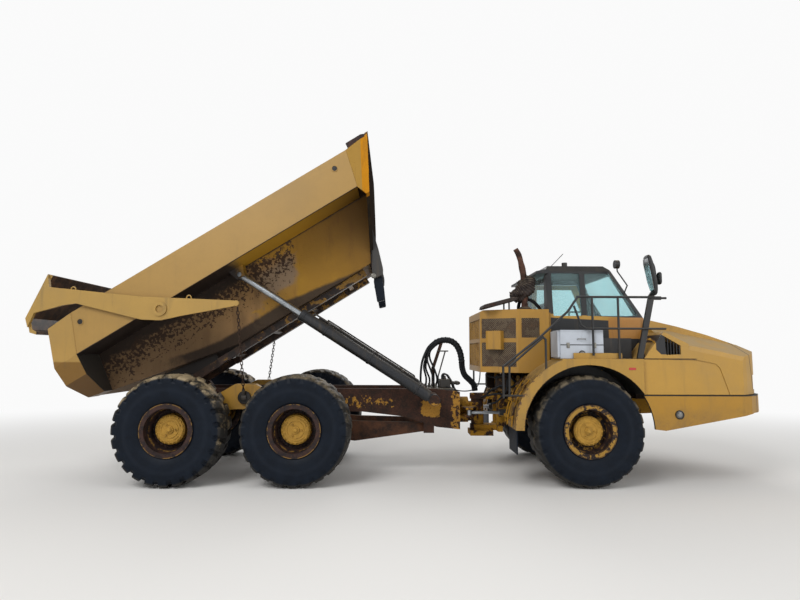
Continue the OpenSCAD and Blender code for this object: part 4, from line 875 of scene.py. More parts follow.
def ferrule(end, radius):
    """Crimped collar and hexagon of a hose's fitting, standing on the hose's lower end."""
    parts = []
    for heights, widths, sides in (((0.075, 0.07, 0.02, 0.015), (0.9, 1.2, 1.2, 0.95), 12),
                                   ((0.030, 0.027, 0.003, 0), (1.2, 1.45, 1.45, 1.3), 6)):
        parts.append(tube([end + (0, 0, height) for height in heights], np.array(widths) * radius, sides))
    return joined(*parts)


def beside(path, sideways, inward):
    """The path moved sideways along Y, and inward along its normal in the plane of X and Z."""
    ahead = unit(np.gradient(np.asarray(path, float), axis=0))
    normal = np.stack([ahead[:, 2], 0 * ahead[:, 0], -ahead[:, 0]], 1)
    return path + sideways * np.array([0, 1, 0]) + inward * unit(normal)


def add_hoses():
    """Seven hoses that fan out at the foot and run side by side over the arch, in a spiral sleeve."""
    arch = curve_through(HOSE_ARCH, 40)
    sleeve = wrapped_hose(beside(arch, 0, 0.037)[4:26], SLEEVE_R, pitch=0.060, wrap=0.16, sides=20)
    sleeve = piece("hose_sleeve", sleeve, "rear_unit", "hose_rubber", crease=60)
    fittings = []
    for k, (sideways, inward, leg) in enumerate(HOSE_LEGS):
        path = curve_through(np.concatenate([leg, beside(arch, sideways, inward)[::3]]), 40)
        fittings += [ferrule(path[0], HOSE_R)]
        hose = piece(f"hose_{k}", wrapped_hose(path, HOSE_R), "rear_unit", "hose_rubber", crease=60,
                     replaces="hose_bundle")
        path = path + (FRONT_X, 0, 0)
    piece("hose_fittings", joined(*fittings), "rear_unit", "fitting_zinc")
    path = curve_through(PILOT_HOSE, 36)
    pilot = tube(curve_through(path, 150), PILOT_R, 10)
    pilot = piece("pilot_hose", pilot, "rear_unit", "hose_rubber", crease=60)
    path = path + (FRONT_X, 0, 0)


add_hoses()


def tyre(x, side, lug_deep, lugs=24, columns=432):
    """Closed section carried round the axle, lugs cut into it.

    A point of the tread goes in along the section's normal by lug_deep * (1 - block) * tread, where tread is
    1 over the crown and shoulder, and block is 1 on a lug: a rounded pulse of lugs * angle / turn + slant *
    |y|, shifted by half a lug on the inner half. Shallow rings lie on the walls.
    """
    half = [(0.0, 0.8675), (0.10, 0.8675), (0.185, 0.866), (0.250, 0.858), (0.298, 0.838), (0.322, 0.802),
            (0.3265, 0.76), (0.3275, 0.70), (0.3265, 0.62), (0.316, 0.53), (0.296, 0.455), (0.272, 0.412),
            (0.252, 0.392)]
    outer = curve_through([(-y, r) for y, r in half[:0:-1]] + half, 74)
    inner = np.array([(0.222, 0.392), (0.250, 0.50), (0.275, 0.66), (0.240, 0.775), (0.10, 0.80)])
    inner = np.concatenate([inner, inner[::-1] * (-1, 1)])
    y, r = np.concatenate([outer, inner])[..., None].transpose(1, 0, 2)
    ahead = unit(np.gradient(outer, axis=0))
    normal = np.concatenate([np.stack([-ahead[:, 1], ahead[:, 0]], 1), np.zeros((len(inner), 2))])
    angle = full_turn(columns)[None]
    skin = (np.arange(len(y)) < len(outer))[:, None]
    share = (lugs * angle / (2 * np.pi) * side + 1.1 * np.abs(y) + 0.5 * (y > 0)) % 1
    block = ease(share, 0.0, 0.07) * (1 - ease(share, 0.66, 0.74))
    block = np.maximum(block, 1 - ease(np.abs(y), 0.015, 0.05))
    wall = sum(np.exp(-((r - at) / wide) ** 2) for at, wide in ((0.70, 0.004), (0.50, 0.005), (0.735, 0.003)))
    inward = (lug_deep * (1 - block) * ease(r, 0.735, 0.79) + 0.0025 * (1 - wall)) * skin
    across, out = y - normal[:, :1] * inward, r - normal[:, 1:] * inward
    points = [x + out * np.cos(angle), side * TRACK_Y + across, TYRE_R + out * np.sin(angle)]
    return grid(np.stack(points, -1), ring=True)


def hub_details(x, side, face):
    """Plug, raised ring, arc ribs and bolt heads on the hub's face, and nuts down in the dish."""
    def out(distance):
        """Y of a point that far out from the tyre's middle."""
        return side * (TRACK_Y + distance)

    def bolts(count, reach, distance, size, tall):
        """A ring of bolt heads on a circle about the axle."""
        places = arc(x, out(distance), TYRE_R, reach, full_turn(count))
        return outward(copies(moved(bolt(size, tall), (1, side, 1)), places))

    plug = [(0.019, 0.044), (0.034, 0.044), (0.038, 0.034), (0.048, 0.030), (0.052, 0.018)]
    plug = lathe([(out(face + along), reach) for along, reach in plug], 6, (x, 0, TYRE_R))
    turn, small = full_turn(64), full_turn(8)[None, :, None]
    radial = arc(0, 0, 0, 1, turn)[:, None]
    ring = arc(x, out(face + 0.002), TYRE_R, 0.132, turn)[:, None]
    ring = ring + 0.006 * (np.cos(small) * radial + np.sin(small) * np.array([0, 1, 0]))
    ribs = [tube(arc(x, out(face + 0.001), TYRE_R, 0.172, start + np.linspace(0, 1.15, 14)), 0.008, 8)
            for start in (0.3, 2.4, 4.5)]
    return joined(plug, grid(ring, ring=True), *ribs, bolts(3, 0.095, face + 0.019, 0.012, 0.012),
                  bolts(24, 0.283, face - 0.118, 0.019, 0.024))


def add_wheels():
    """Lugged tyre and hub trim for each wheel: how deep its lugs are, and where its hub's face lies."""
    for axle, lug_deep, face in (("front", 0.020, 0.190), ("mid", 0.024, 0.130), ("rear", 0.046, 0.130)):
        for side, word in ((1, "left"), (-1, "right")):
            x, wheel = AXLE_X[axle] - FRONT_X, f"{axle}_{word}"
            piece(f"lugged_tyre_{wheel}", tyre(x, side, lug_deep), f"wheel_{wheel}", f"tyre_rubber_{axle}",
                  crease=50, replaces=f"tyre_{wheel}")
            piece(f"hub_trim_{wheel}", hub_details(x, side, face), f"wheel_{wheel}", f"rim_{axle}")


add_wheels()

# Each tailgate chain's lower pin on the walking beam, and its upper one at the gate's arm
CHAIN_LOW, CHAIN_HIGH = np.array([(-5.573, 0.845, 1.320), (-5.542, 1.500, 2.78557)])
CHAIN_WAY = unit(CHAIN_HIGH - CHAIN_LOW)


def chain_link(length, width, bar, sides=8):
    """Round bar bent to a stadium: two straights joined by half circles, in the plane of X and Z."""
    half = np.linspace(-np.pi / 2, np.pi / 2, 9)
    reach, radius = length / 2 - width / 2, width / 2 - bar / 2
    top = np.stack([radius * np.sin(half), 0 * half, reach + radius * np.cos(half)], 1)
    path = np.concatenate([top, -top])
    ahead = unit(np.roll(path, -1, axis=0) - np.roll(path, 1, axis=0))
    side = np.array([0.0, 1.0, 0.0])
    turn = full_turn(sides)[None, :, None]
    ring = np.cos(turn) * side + np.sin(turn) * np.cross(ahead, side)[:, None]
    return grid(path[:, None] + bar / 2 * ring, ring=True)


def add_chains(links=24):
    """Links in a line from the beam's strap to the gate arm's tip, each a quarter turn from the last."""
    low = CHAIN_LOW + CHAIN_WAY * 0.10
    pitch = np.linalg.norm(CHAIN_HIGH - low) / links
    side = unit(np.cross(CHAIN_WAY, (1.0, 0, 0)))
    lying = np.stack([np.cross(side, CHAIN_WAY), side, CHAIN_WAY], 1)
    turns = lying @ about_z(np.arange(links) * math.pi / 2)
    places = low + CHAIN_WAY * ((np.arange(links) + 0.5) * pitch)[:, None]
    chain = mirrored(copies(chain_link(pitch + 0.026, 0.052, 0.015), places, turns))
    piece("gate_chain_links", chain, "gate_chains", "chain_steel", crease=60, replaces="gate_chains")


add_chains()


def add_headboard_guards():
    """Wedge of plate on the headboard's lower front, and the thick rubber strap bolted to its foot.

    Both are drawn in the load body's own frame.
    """
    wedge = [(4.252, 0.640), (4.225, 0.615), (4.100, 0.144), (3.995, -0.170), (3.930, -0.270),
             (3.760, -0.250), (3.810, -0.110), (3.935, 0.100), (4.206, 0.580)]
    strap = [(3.762, -0.252), (3.905, -0.272), (3.905, -0.300), (3.740, -0.640), (3.722, -0.655),
             (3.618, -0.622), (3.606, -0.606), (3.735, -0.285)]
    face = [beam((x0 - 0.010, 0.672, z0), (x1 - 0.010, 0.672, z1), 0.18, 0.014)
            for (x0, z0), (x1, z1) in zip(wedge[1:3], wedge[2:4])]
    steel = mirrored(slab(wedge, 0.760, 0.800, cut=0.004), slab(wedge, 0.560, 0.585, cut=0.004), *face)
    piece("headboard_guard", tipped(steel), "dump_body", "guard_steel")
    piece("body_strap", tipped(mirrored(slab(strap, 0.600, 0.756, cut=0.010))), "dump_body", "flap_rubber",
          replaces="body_flap")
    head = moved(bolt(0.034, 0.030), (1, -1, 1), (3.782, -0.800, -0.205))
    piece("strap_bolts", tipped(mirrored(head)), "dump_body", "fitting_zinc")


add_headboard_guards()


def add_body_details():
    """Holes in the top rails, eyes on the tailgate, gussets, caps on the beams' pins, the chains' straps."""
    rims, holes = [], []
    for x, z in ((-4.031, 5.052), (-7.990, 2.547)):
        for parts, profile in ((rims, [(-0.002, 1.36), (0.009, 1.28), (0.009, 1.02), (0.001, 0.98)]),
                               (holes, [(0.0, 1.0), (0.0025, 1.0), (0.003, 0.9)])):
            part = lathe([(along, reach * 0.042) for along, reach in profile], 32)
            parts.append(moved(part, (1, -1, 1), (x, -BODY_HALF, z)))
    piece("rail_hole_rims", mirrored(*rims), "dump_body", "dump_paint")
    # Painted shade: a near black disc in each hole.
    piece("rail_holes", mirrored(*holes), "dump_body", "black_and_shade")
    eyes = []
    for x, z in ((-8.103, 3.050), (-6.287, 2.925)):
        loop = arc(x, -1.578, z, 0.036, np.linspace(0, np.pi, 12)) * (1, 1, 7 / 6) - (0, 0, z / 6)
        eyes.append(tube([loop[0] - (0, 0, 0.05), *loop, loop[-1] - (0, 0, 0.05)], 0.010, 8))
    piece("gate_eyes", mirrored(*eyes), "tailgate", "gate_paint")
    gusset = [(4.514, 1.819), (4.500, 1.690), (4.790, 1.690), (4.866, 1.795), (4.800, 1.822)]
    piece("headboard_gussets", tipped(mirrored(slab(gusset, 1.420, 1.478))), "dump_body", "rim_rear")
    pin = CHAIN_LOW * (1, 0, 1)
    cap = [(0.790, 0.085), (0.800, 0.108), (0.838, 0.110), (0.846, 0.104), (0.848, 0.060), (0.850, 0.050)]
    cap = lathe(cap, 32, pin)
    piece("beam_caps", mirrored(cap), "rear_unit", "black_and_shade")
    ends = CHAIN_LOW + (0, 0.021, 0), CHAIN_LOW + CHAIN_WAY * 0.155 + (0, 0.008, 0)
    strap = beam(*ends, 0.045, 0.014, across=(1, 0, 0))
    eye = lathe([(0.853, 0.040), (0.856, 0.046), (0.880, 0.046), (0.884, 0.038)], 20, pin)
    piece("chain_straps", mirrored(strap, eye), "gate_chains", "guard_steel")


add_body_details()


def add_welds():
    """Beads along the rails' lower edge and down the tail band's seam, drawn in the load body's own frame."""
    lines = ([(-0.610, 1.690), (-0.842, 1.080)],
             [(-0.500, 1.079), (1.500, 1.079), (3.300, 1.079), (4.280, 1.079)])
    beads = [bead([(x, BODY_HALF + 0.001, z) for x, z in line], 0.006) for line in lines]
    piece("rail_welds", tipped(mirrored(*beads)), "dump_body", "dump_paint", crease=60)


add_welds()


def add_hoist_details():
    """Pipe and clamps along each hoist's barrel, and rings round it; all lie about the barrel's own line."""
    foot = np.array([-2.380, 1.000, 1.300])
    ahead = unit(on_body([(1.871, 1.000, 0.960)])[0] - foot)
    up = unit(np.cross(ahead, (0, 1, 0)))
    up = up if up[2] > 0 else -up

    def at(run, lift=0.0, out=0.0):
        """A place along the barrel from its foot, lifted off its line and moved out."""
        return foot + ahead * run + up * lift + np.array([0, out, 0])

    rings = [tube([at(a), at(a + 0.008), at(b - 0.008), at(b)], np.array([0.096, r, r, 0.096]), 32)
             for a, b, r in ((2.590, 2.650, 0.103), (2.560, 2.586, 0.107), (0.320, 0.350, 0.104),
                             (1.25, 1.30, 0.102), (2.12, 2.17, 0.102))]
    pipe = [at(0.36, 0.085, -0.03), at(0.38, 0.118, -0.04), at(0.46, 0.128, -0.045), at(1.2, 0.128, -0.045),
            at(2.36, 0.128, -0.045), at(2.45, 0.120, -0.04), at(2.48, 0.085, -0.03)]
    clamps = [beam(at(run - 0.03, 0.122, -0.045), at(run + 0.03, 0.122, -0.045), 0.055, 0.040)
              for run in (0.7, 1.275, 2.145)]
    piece("hoist_rings", mirrored(*rings), "hoist_barrels", "barrel_black")
    pipe = tube(curve_through(pipe, 60), 0.015, 10)
    piece("hoist_pipes", mirrored(pipe, *clamps), "hoist_barrels", "guard_steel")


add_hoist_details()


def add_valves():
    """Tray between the rails, valve block with spool ends and plugs, and the bracket under the hoses."""
    parts = [box_bar((-2.478, -0.448, 1.425), (-1.980, 0.448, 1.445)),
             box_bar((-2.215, -0.145, 1.446), (-2.020, 0.145, 1.600), cut=0.012)]
    for y in (-0.105, -0.035, 0.035, 0.105):
        spool = [(-2.02, 0.026), (-1.92, 0.026), (-1.915, 0.034), (-1.87, 0.034), (-1.862, 0.024),
                 (-1.845, 0.022)]
        parts.append(lathe(spool, 16, (0, y, 1.530), "x"))
        plug = [(1.598, 0.024), (1.625, 0.024), (1.63, 0.018), (1.66, 0.016)]
        parts.append(lathe(plug, 6, (-2.12, y, 0), "z"))
    piece("valve_block", joined(*parts), "rear_unit", "guard_steel")
    stand = [beam((-2.255, 0, 2.112), (-2.050, 0, 2.112), 0.12, 0.024),
             beam((-2.105, 0, 2.105), (-2.235, 0, 1.650), 0.05, 0.022),
             beam((-2.235, 0, 1.660), (-2.235, 0, 1.446), 0.05, 0.022)]
    piece("hose_bracket", joined(*stand), "rear_unit", "guard_steel")
    elbows = []
    for y, out in ((-0.11, -0.16), (-0.05, -0.10), (0.09, 0.15)):
        path = [(-2.16, y, 1.60), (-2.16, y, 1.655), (-2.13, (y + out) / 2, 1.690), (-2.08, out, 1.680),
                (-2.03, out, 1.610), (-1.98, out, 1.520), (-1.95, out, 1.440), (-1.90, out, 1.375)]
        elbows.append(tube(curve_through(path, 40), 0.014, 10))
    piece("valve_pipes", joined(*elbows), "rear_unit", "barrel_black")


add_valves()
BAY_PIPES = [
    [(-1.42, -0.50, 1.36), (-1.36, -0.62, 1.44), (-1.20, -0.68, 1.52), (-1.02, -0.68, 1.50),
     (-0.86, -0.66, 1.62), (-0.80, -0.60, 1.76)],
    [(-1.50, -0.40, 1.30), (-1.44, -0.58, 1.34), (-1.24, -0.66, 1.38), (-1.00, -0.68, 1.34),
     (-0.72, -0.62, 1.42), (-0.60, -0.58, 1.60), (-0.58, -0.60, 1.76)],
    [(-1.44, -0.52, 1.70), (-1.30, -0.66, 1.66), (-1.10, -0.70, 1.70), (-0.90, -0.66, 1.55),
     (-0.70, -0.66, 1.50), (-0.52, -0.60, 1.62), (-0.46, -0.55, 1.80)],
    [(-1.36, -0.56, 1.20), (-1.26, -0.66, 1.26), (-1.12, -0.70, 1.44), (-1.10, -0.70, 1.60),
     (-1.04, -0.64, 1.76)]]


def add_engine_bay():
    """What shows behind the front wheel: gearbox, brackets, tank, filters, pipes, and the arches' stays."""
    gearbox = lathe([(-1.04, 0.12), (-1.02, 0.17), (-0.95, 0.17), (-0.94, 0.235), (-0.88, 0.240),
                     (-0.62, 0.245), (-0.60, 0.272), (-0.55, 0.272), (-0.53, 0.248), (-0.14, 0.255),
                     (-0.12, 0.282), (-0.07, 0.282), (-0.05, 0.258), (0.40, 0.262), (0.42, 0.285),
                     (0.47, 0.285), (0.49, 0.20), (1.10, 0.19), (1.12, 0.14)], 48, (0, 0, 1.500), "x")
    turn = full_turn(16)
    places = np.stack([0 * turn, 0.262 * np.cos(turn), 1.5 + 0.262 * np.sin(turn)], 1)
    heads = [copies(bolt(0.016, 0.014, "x"), places + (x, 0, 0)) for x in (-0.550, -0.070)]
    piece("gearbox", joined(gearbox, *heads), "front_unit", "engine_grey")
    legs = [box_bar((-1.150, -0.560, 1.282), (-1.085, -0.500, 1.748)),
            box_bar((-1.150, -0.560, 1.282), (-0.560, -0.500, 1.330)),
            box_bar((-0.620, -0.560, 1.282), (-0.560, -0.500, 1.748))]
    tank = slab(rounded(0.26, 0.30, 0.05, (-1.130, 1.560)), -0.640, -0.420, cut=0.02)
    piece("bay_brackets", mirrored(*legs, tank), "front_unit", "engine_grey")
    bowl = np.array([(1.400, 0.8), (1.412, 1), (1.600, 1), (1.606, 1.08), (1.640, 1.08), (1.650, 0.7),
                     (1.690, 0.5)])
    filters = [lathe(bowl * (1, reach), 24, (x, y, 0), "z")
               for x, y, reach in ((-1.010, -0.600, 0.052), (-0.890, -0.600, 0.052), (-0.760, -0.620, 0.066))]
    piece("bay_filters", joined(*filters), "front_unit", "filter_paint")
    pipes = [tube(curve_through(path, 60), 0.017, 10) for path in BAY_PIPES]
    piece("bay_pipes", joined(*pipes), "front_unit", "hose_rubber", crease=60)
    stays = [tube(arc(0, y, TYRE_R, reach, np.radians(np.linspace(139, 177, 24))), 0.013, 8)
             for reach, y in ((1.200, -1.460), (1.236, -1.300), (1.206, -1.000))]
    for degrees in (145, 158, 171):
        c, s = math.cos(math.radians(degrees)), math.sin(math.radians(degrees))
        ends = [(reach * c, y, TYRE_R + reach * s) for reach, y in ((1.205, -1.50), (1.235, -0.98))]
        stays.append(beam(*ends, 0.05, 0.012, across=(-s, 0, c)))
    piece("arch_stays", mirrored(*stays), "front_unit", "hitch_iron")
    # Black liners in the arches: a dark sheet of painted shade.
    angles = np.radians(np.linspace(20, 168, 30))
    liner = np.stack([arc(0, y, TYRE_R, reach, angles)
                      for reach, y in ((1.022, -0.985), (0.80, -0.985), (0.80, -0.973), (1.022, -0.973))], 1)
    piece("arch_liners", mirrored(grid(liner)), "front_unit", "black_and_shade")


add_engine_bay()


def woven(origin, ahead, wide, low, high, gap=0.034, bar=0.0046):
    """Diagonal mesh that fills a rectangle on an upright plane, and the dark sheet of painted shade behind
    it.

    A wire runs along u + v = c or u - v = c, with u along the plane and v upward, cut at the sides.
    """
    tall = high - low
    axes = np.array([ahead, (0, 0, 1), (-ahead[1], ahead[0], 0)])
    base = np.asarray(origin) + (0, 0, low)
    steps = np.arange(gap, wide + tall, gap)
    starts, stops = np.maximum(0, steps - tall), np.minimum(wide, steps)
    rising = np.stack([np.stack([u, steps - u], 1) for u in (starts, stops)], 1)
    ends = np.concatenate([rising, rising * (1, -1) + (0, tall)])
    across = unit(ends[:, 1] - ends[:, 0])[:, ::-1] * (1, -1)
    rings = [np.stack([np.insert(end + across * bar * share, 2, depth, axis=1)
                       for share, depth in ((1, 0.004), (1, 0.0095), (-1, 0.0095), (-1, 0.004))], 1)
             for end in (ends[:, 0], ends[:, 1])]
    wires = [grid(base + wire @ axes) for wire in np.stack(rings, 1)]
    sheet = [[(0, 0, depth), (wide, 0, depth), (wide, tall, depth), (0, tall, depth)]
             for depth in (0.0100, 0.0112)]
    return joined(*wires), grid(base + np.array(sheet) @ axes)


def add_cooler_mesh():
    """Wire mesh over a dark sheet of painted shade in the cooler's openings, on both slanted corners
    and both sides.
    """
    corner = np.array([-0.973, 1.000, 0])
    ahead = unit(np.array([-0.587, -0.310, 0]))
    panels = [woven(corner + ahead * 0.031, ahead, math.hypot(0.587, 0.310) - 0.062, low, high)
              for low, high in ((1.851, 2.259), (2.331, 2.669))]
    panels.append(woven((-0.604, 1.000, 0), np.array([-1.0, 0, 0]), 0.301, 2.341, 2.669))
    wires, sheets = zip(*panels)
    piece("cooler_mesh", mirrored(*wires), "front_unit", "mesh_wire", crease=60)
    piece("cooler_shade", mirrored(*sheets), "front_unit", "mesh_shade")


add_cooler_mesh()


def add_exhaust():
    """Stack with its bent end, the crushed heat shield round its foot, its cover and the intake pipe.

    The shield is a tube whose radius has fine ribs along it and waves of three, five and nine folds round it.
    """
    x, y = -0.780, -0.720
    stack = curve_through([(x, y, 2.818), (x, y, 3.10), (x - 0.005, y, 3.36), (x - 0.035, y, 3.565),
                           (x - 0.084, y, 3.778), (x - 0.144, y, 3.898)], 60)
    share, turn = np.linspace(0, 1, 60)[:, None], full_turn(20)
    dents = (0.057 - 0.010 * ease(share, 0.55, 0.9)) * (1 + 0.06 * np.sin(share * 30) * np.cos(2 * turn))
    piece("exhaust_pipe", tube(stack, dents, 20), "front_unit", "pipe_rust", crease=60)
    # Soot black with painted shade: a dark lining in the stack's open end.
    bore = tube(stack[-8:] + (0, 0, 0.002), dents[-8:] - 0.006, 20)
    piece("exhaust_bore", bore, "front_unit", "black_and_shade")
    axis = curve_through([(x - 0.225, y, 3.030), (x - 0.135, y + 0.01, 3.090), (x - 0.010, y, 3.180),
                          (x + 0.060, y, 3.300), (x + 0.070, y, 3.420)], 90)
    share, turn = np.linspace(0, 1, 90)[:, None], full_turn(64)
    swell = np.interp(share, (0, 0.08, 0.35, 0.60, 0.85, 1), (0.055, 0.095, 0.125, 0.150, 0.125, 0.062))
    crush = sum(deep * np.sin(folds * turn + along * share)
                for deep, folds, along in ((0.022, 3, 7), (0.012, 5, -13), (0.010, 9, 21)))
    shield = tube(axis, swell + 0.007 * np.sin(share * 88) + crush * ease(share, 0.0, 0.1), 64)
    piece("exhaust_shield", shield, "front_unit", "shield_rust", crease=50, replaces="exhaust_stack")
    cover = slab([(-1.540, 2.846), (-1.500, 2.838), (-1.040, 2.965), (-0.960, 2.985), (-0.950, 3.020),
                  (-1.060, 3.022), (-1.520, 2.898)], -0.980, -0.460, cut=0.012)
    stands = [lathe([(2.819, 0.014), (2.990, 0.014)], 12, (-1.10, at, 0), "z") for at in (-0.940, -0.500)]
    foot = lathe([(2.818, 0.115), (2.850, 0.115), (2.853, 0.105), (2.880, 0.075)], 32, (x, y, 0), "z")
    cover = joined(cover, *stands, foot)
    piece("exhaust_cover", cover, "front_unit", "shield_rust", replaces="exhaust_stack")
    intake = [(-0.86, -0.60, 2.824), (-0.86, -0.60, 2.90), (-0.83, -0.62, 2.985), (-0.74, -0.66, 3.020),
              (-0.64, -0.68, 2.990), (-0.56, -0.68, 2.920), (-0.50, -0.66, 2.850), (-0.48, -0.64, 2.821)]
    piece("intake_pipe", tube(curve_through(intake, 60), 0.030, 14), "front_unit", "hose_rubber", crease=60)


add_exhaust()


def add_mirrors():
    """Mirror arms, each with a tall leaning housing, glass on its rear face, and a small mirror ahead.

    The housing's section is a rounded rectangle: cos and sin to the power 0.55, with their signs.
    """
    y = -1.5517
    arm = [(0.778, 1.996), (0.868, 1.996), (1.092, 3.000), (1.092, 3.040), (1.040, 3.060), (1.000, 3.000)]
    arm = slab(arm, y - 0.024, y + 0.024, cut=0.008)
    rod = [(1.030, 0.022), (1.060, 0.030), (1.195, 0.030), (1.203, 0.018), (1.280, 0.018), (1.285, 0.014)]
    rod = lathe(rod, 20, (0, y, 2.960), "x")
    spine = curve_through([(1.060, -1.640, 2.996), (1.050, -1.640, 3.12), (1.020, -1.640, 3.30),
                           (0.985, -1.640, 3.48), (0.958, -1.640, 3.634)], 25)
    share, along = np.linspace(0, 1, 25), (0, 0.03, 0.10, 0.35, 0.80, 0.96, 1)
    wide = np.interp(share, along, (0.035, 0.060, 0.080, 0.108, 0.110, 0.095, 0.060))[:, None, None]
    deep = np.interp(share, along, (0.012, 0.024, 0.032, 0.042, 0.040, 0.030, 0.014))[:, None, None]
    c, s = (np.sign(v) * np.abs(v) ** 0.55 for v in (np.cos(full_turn(40)), np.sin(full_turn(40))))
    sideways = c[None, :, None] * np.array([0, 1, 0])
    s = s[None, :, None]
    across = unit(np.cross((0, 1, 0), unit(np.gradient(spine, axis=0))))[:, None]
    spine = spine[:, None]
    back = -np.sign(across[0, 0, 0])
    keep = slice(3, 23)
    glass = spine[keep] + 0.86 * wide[keep] * sideways + (1.03 * back * deep[keep] + 0.004 * s) * across[keep]
    bracket = tube(curve_through([(1.046, y, 2.995), (1.100, y, 3.06), (1.128, y, 3.20), (1.120, y, 3.42),
                                  (1.070, -1.585, 3.520), (0.985, -1.62, 3.545)], 50), 0.014, 12)
    small = slab(rounded(0.12, 0.20, 0.04, (-1.610, 3.270)), 1.140, 1.175, "x", 0.010)
    clamp = [(-0.030, 0.026), (-0.026, 0.030), (0.026, 0.030), (0.030, 0.026)]
    clamp = lathe(clamp, 16, (1.128, y, 3.22), "z")
    heads = mirrored(arm, rod, grid(spine + wide * sideways + deep * s * across), bracket, small, clamp)
    piece("mirror_heads", heads, "front_unit", "rail_black", replaces="mirrors")
    piece("mirror_glass", mirrored(grid(glass)), "front_unit", "mirror_silver")


add_mirrors()


def add_lamps():
    """Round side lamps, the kerb lamp on the right deck and the red reflectors on the fenders."""
    outside, place = (1, -1, 1), (1.415, -1.5565, 1.128)
    ring = lathe([(-0.004, 0.07168), (0.010, 0.06912), (0.012, 0.0576), (0.004, 0.05248)], 32)
    lens = lathe([(0.0, 0.05376), (0.006, 0.0512), (0.014, 0.032), (0.016, 0.0064)], 32)
    ring, lens = mirrored(moved(ring, outside, place)), mirrored(moved(lens, outside, place))
    piece("side_lamp_rings", ring, "front_unit", "black_and_shade")
    piece("side_lamp_lenses", lens, "front_unit", "lens_clear")
    place = (-0.080, -1.540, 2.069)
    rim = [(-0.060, 0.030), (-0.040, 0.052), (0.000, 0.056), (0.006, 0.052), (0.006, 0.044), (0.0, 0.040)]
    rim = lathe(rim, 28)
    lens = lathe([(-0.004, 0.044), (0.002, 0.040), (0.006, 0.010)], 28)
    stem = lathe([(-0.075, 0.012), (-0.040, 0.012)], 12, place, "z")
    piece("kerb_lamp", joined(moved(rim, outside, place), stem), "front_unit", "rail_black")
    piece("kerb_lens", moved(lens, outside, place), "front_unit", "lens_clear")
    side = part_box("fenders")[0][1]
    red = slab(rounded(0.110, 0.038, 0.008, (0.676, 1.840)), side - 0.005, side + 0.001, cut=0.002)
    piece("reflectors", mirrored(red), "front_unit", "lens_red")


add_lamps()


def add_box_details():
    """Tool box: gap under its lid, latches, handle and rolled edges; by the mudguard the grab loop."""
    y = -1.5362
    lid = slab(rounded(0.684, 0.014, 0.004, (-0.080, 2.212)), y - 0.0005, y + 0.0035, cut=0.001)
    latches = []
    for x in (-0.300, 0.120):
        latches.append(slab(rounded(0.050, 0.085, 0.008, (x, 2.205)), y - 0.010, y, cut=0.003))
        latches.append(slab(rounded(0.026, 0.055, 0.008, (x, 2.195)), y - 0.019, y - 0.010, cut=0.004))
    handle = curve_through([(-0.150, y, 2.30), (-0.150, y - 0.030, 2.305), (-0.130, y - 0.036, 2.305),
                            (-0.050, y - 0.036, 2.305), (-0.030, y - 0.030, 2.305), (-0.030, y, 2.30)], 40)
    edges = [box_bar((-0.418, y - 0.004, z - 0.006), (0.260, y + 0.001, z + 0.006), 0.003)
             for z in (2.006, 2.432)]
    piece("box_gap", lid, "front_unit", "black_and_shade")
    handle = tube(handle, 0.007, 8, across=(0, 0, 1))
    piece("box_latches", joined(*latches, handle), "front_unit", "fitting_zinc")
    piece("box_edges", joined(*edges), "front_unit", "box_white")
    loop = [(0.900, 1.990), (0.905, 2.20), (0.935, 2.290), (1.010, 2.305), (1.077, 2.255), (1.125, 2.120),
            (1.135, 1.990)]
    loop = curve_through([(x, -1.535, z) for x, z in loop], 60)
    piece("grab_loops", mirrored(tube(loop, 0.016, 12)), "front_unit", "hitch_iron", crease=60)


add_box_details()


def add_louvre_screens():
    """Dark sheet of painted shade inside the hood behind the bars of its air intakes."""
    outline = [(1.190, 2.375), (1.250, 2.375), (1.500, 2.235), (1.500, 2.030), (1.190, 2.030)]
    piece("louvre_shade_sheets", mirrored(slab(outline, 1.300, 1.303, cut=0.001)), "hood", "black_and_shade")


add_louvre_screens()


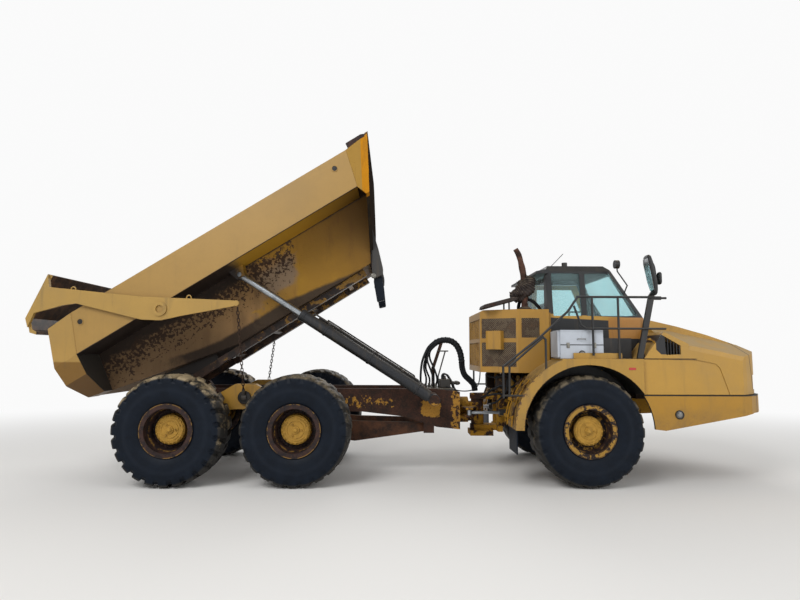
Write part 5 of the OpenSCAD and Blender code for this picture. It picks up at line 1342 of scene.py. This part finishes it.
def add_stage():
    """A pale floor that whitens with distance, a white world round it, and three large soft lamps."""
    bpy.ops.mesh.primitive_plane_add(size=240)
    floor = bpy.context.object
    floor.name = "floor"
    f = Finish("floor_pale")
    f.set(base_color=(0.80, 0.79, 0.77), roughness=0.9)
    path = f.node("LightPath").outputs
    seen = f.most(path["Is Camera Ray"], path["Is Transmission Ray"], path["Is Glossy Ray"])
    spot = f.vector("MULTIPLY", f.vector("SUBTRACT", f.place, (0.5, -1.0, 0)), (0.75, 1.0, 0))
    far = f.between(f.vector("LENGTH", spot), 5.5, 15)
    glow = f.node("Emission", {"Color": (1.0, 1.0, 1.0), "Strength": 0.96}).outputs[0]
    both = f.node("MixShader", {0: seen * far, 1: f.shader.outputs[0], 2: glow}).outputs[0]
    f.put(both, f.tree.nodes["Material Output"].inputs[0])
    floor.data.materials.append(f.material)
    world = bpy.data.worlds.new("studio")
    bpy.context.scene.world = world
    world.use_nodes = True
    tree = world.node_tree
    path = tree.nodes.new("ShaderNodeLightPath")
    seen = tree.nodes.new("ShaderNodeMath")
    seen.operation = "MAXIMUM"
    tree.links.new(path.outputs["Is Camera Ray"], seen.inputs[0])
    tree.links.new(path.outputs["Is Transmission Ray"], seen.inputs[1])
    strength = tree.nodes.new("ShaderNodeMapRange")
    strength.inputs[3].default_value = 0.50
    strength.inputs[4].default_value = 0.96
    tree.links.new(seen.outputs[0], strength.inputs[0])
    sky = tree.nodes["Background"]
    sky.inputs[0].default_value = (1.0, 1.0, 1.0, 1)
    tree.links.new(strength.outputs[0], sky.inputs[1])
    lamps = (("key", (-8, -13, 13), 8, 1650), ("fill", (11, -10, 7), 9, 520), ("back", (2, 14, 12), 10, 900))
    for name, place, size, power in lamps:
        lamp = bpy.data.objects.new(name, bpy.data.lights.new(name, "AREA"))
        lamp.data.size = size
        lamp.data.energy = power
        lamp.location = place
        lamp.rotation_euler = (Vector((0, 0, 1.5)) - Vector(place)).to_track_quat("-Z", "Y").to_euler()
        bpy.context.scene.collection.objects.link(lamp)


add_stage()
bpy.context.scene.view_settings.view_transform = "Standard"
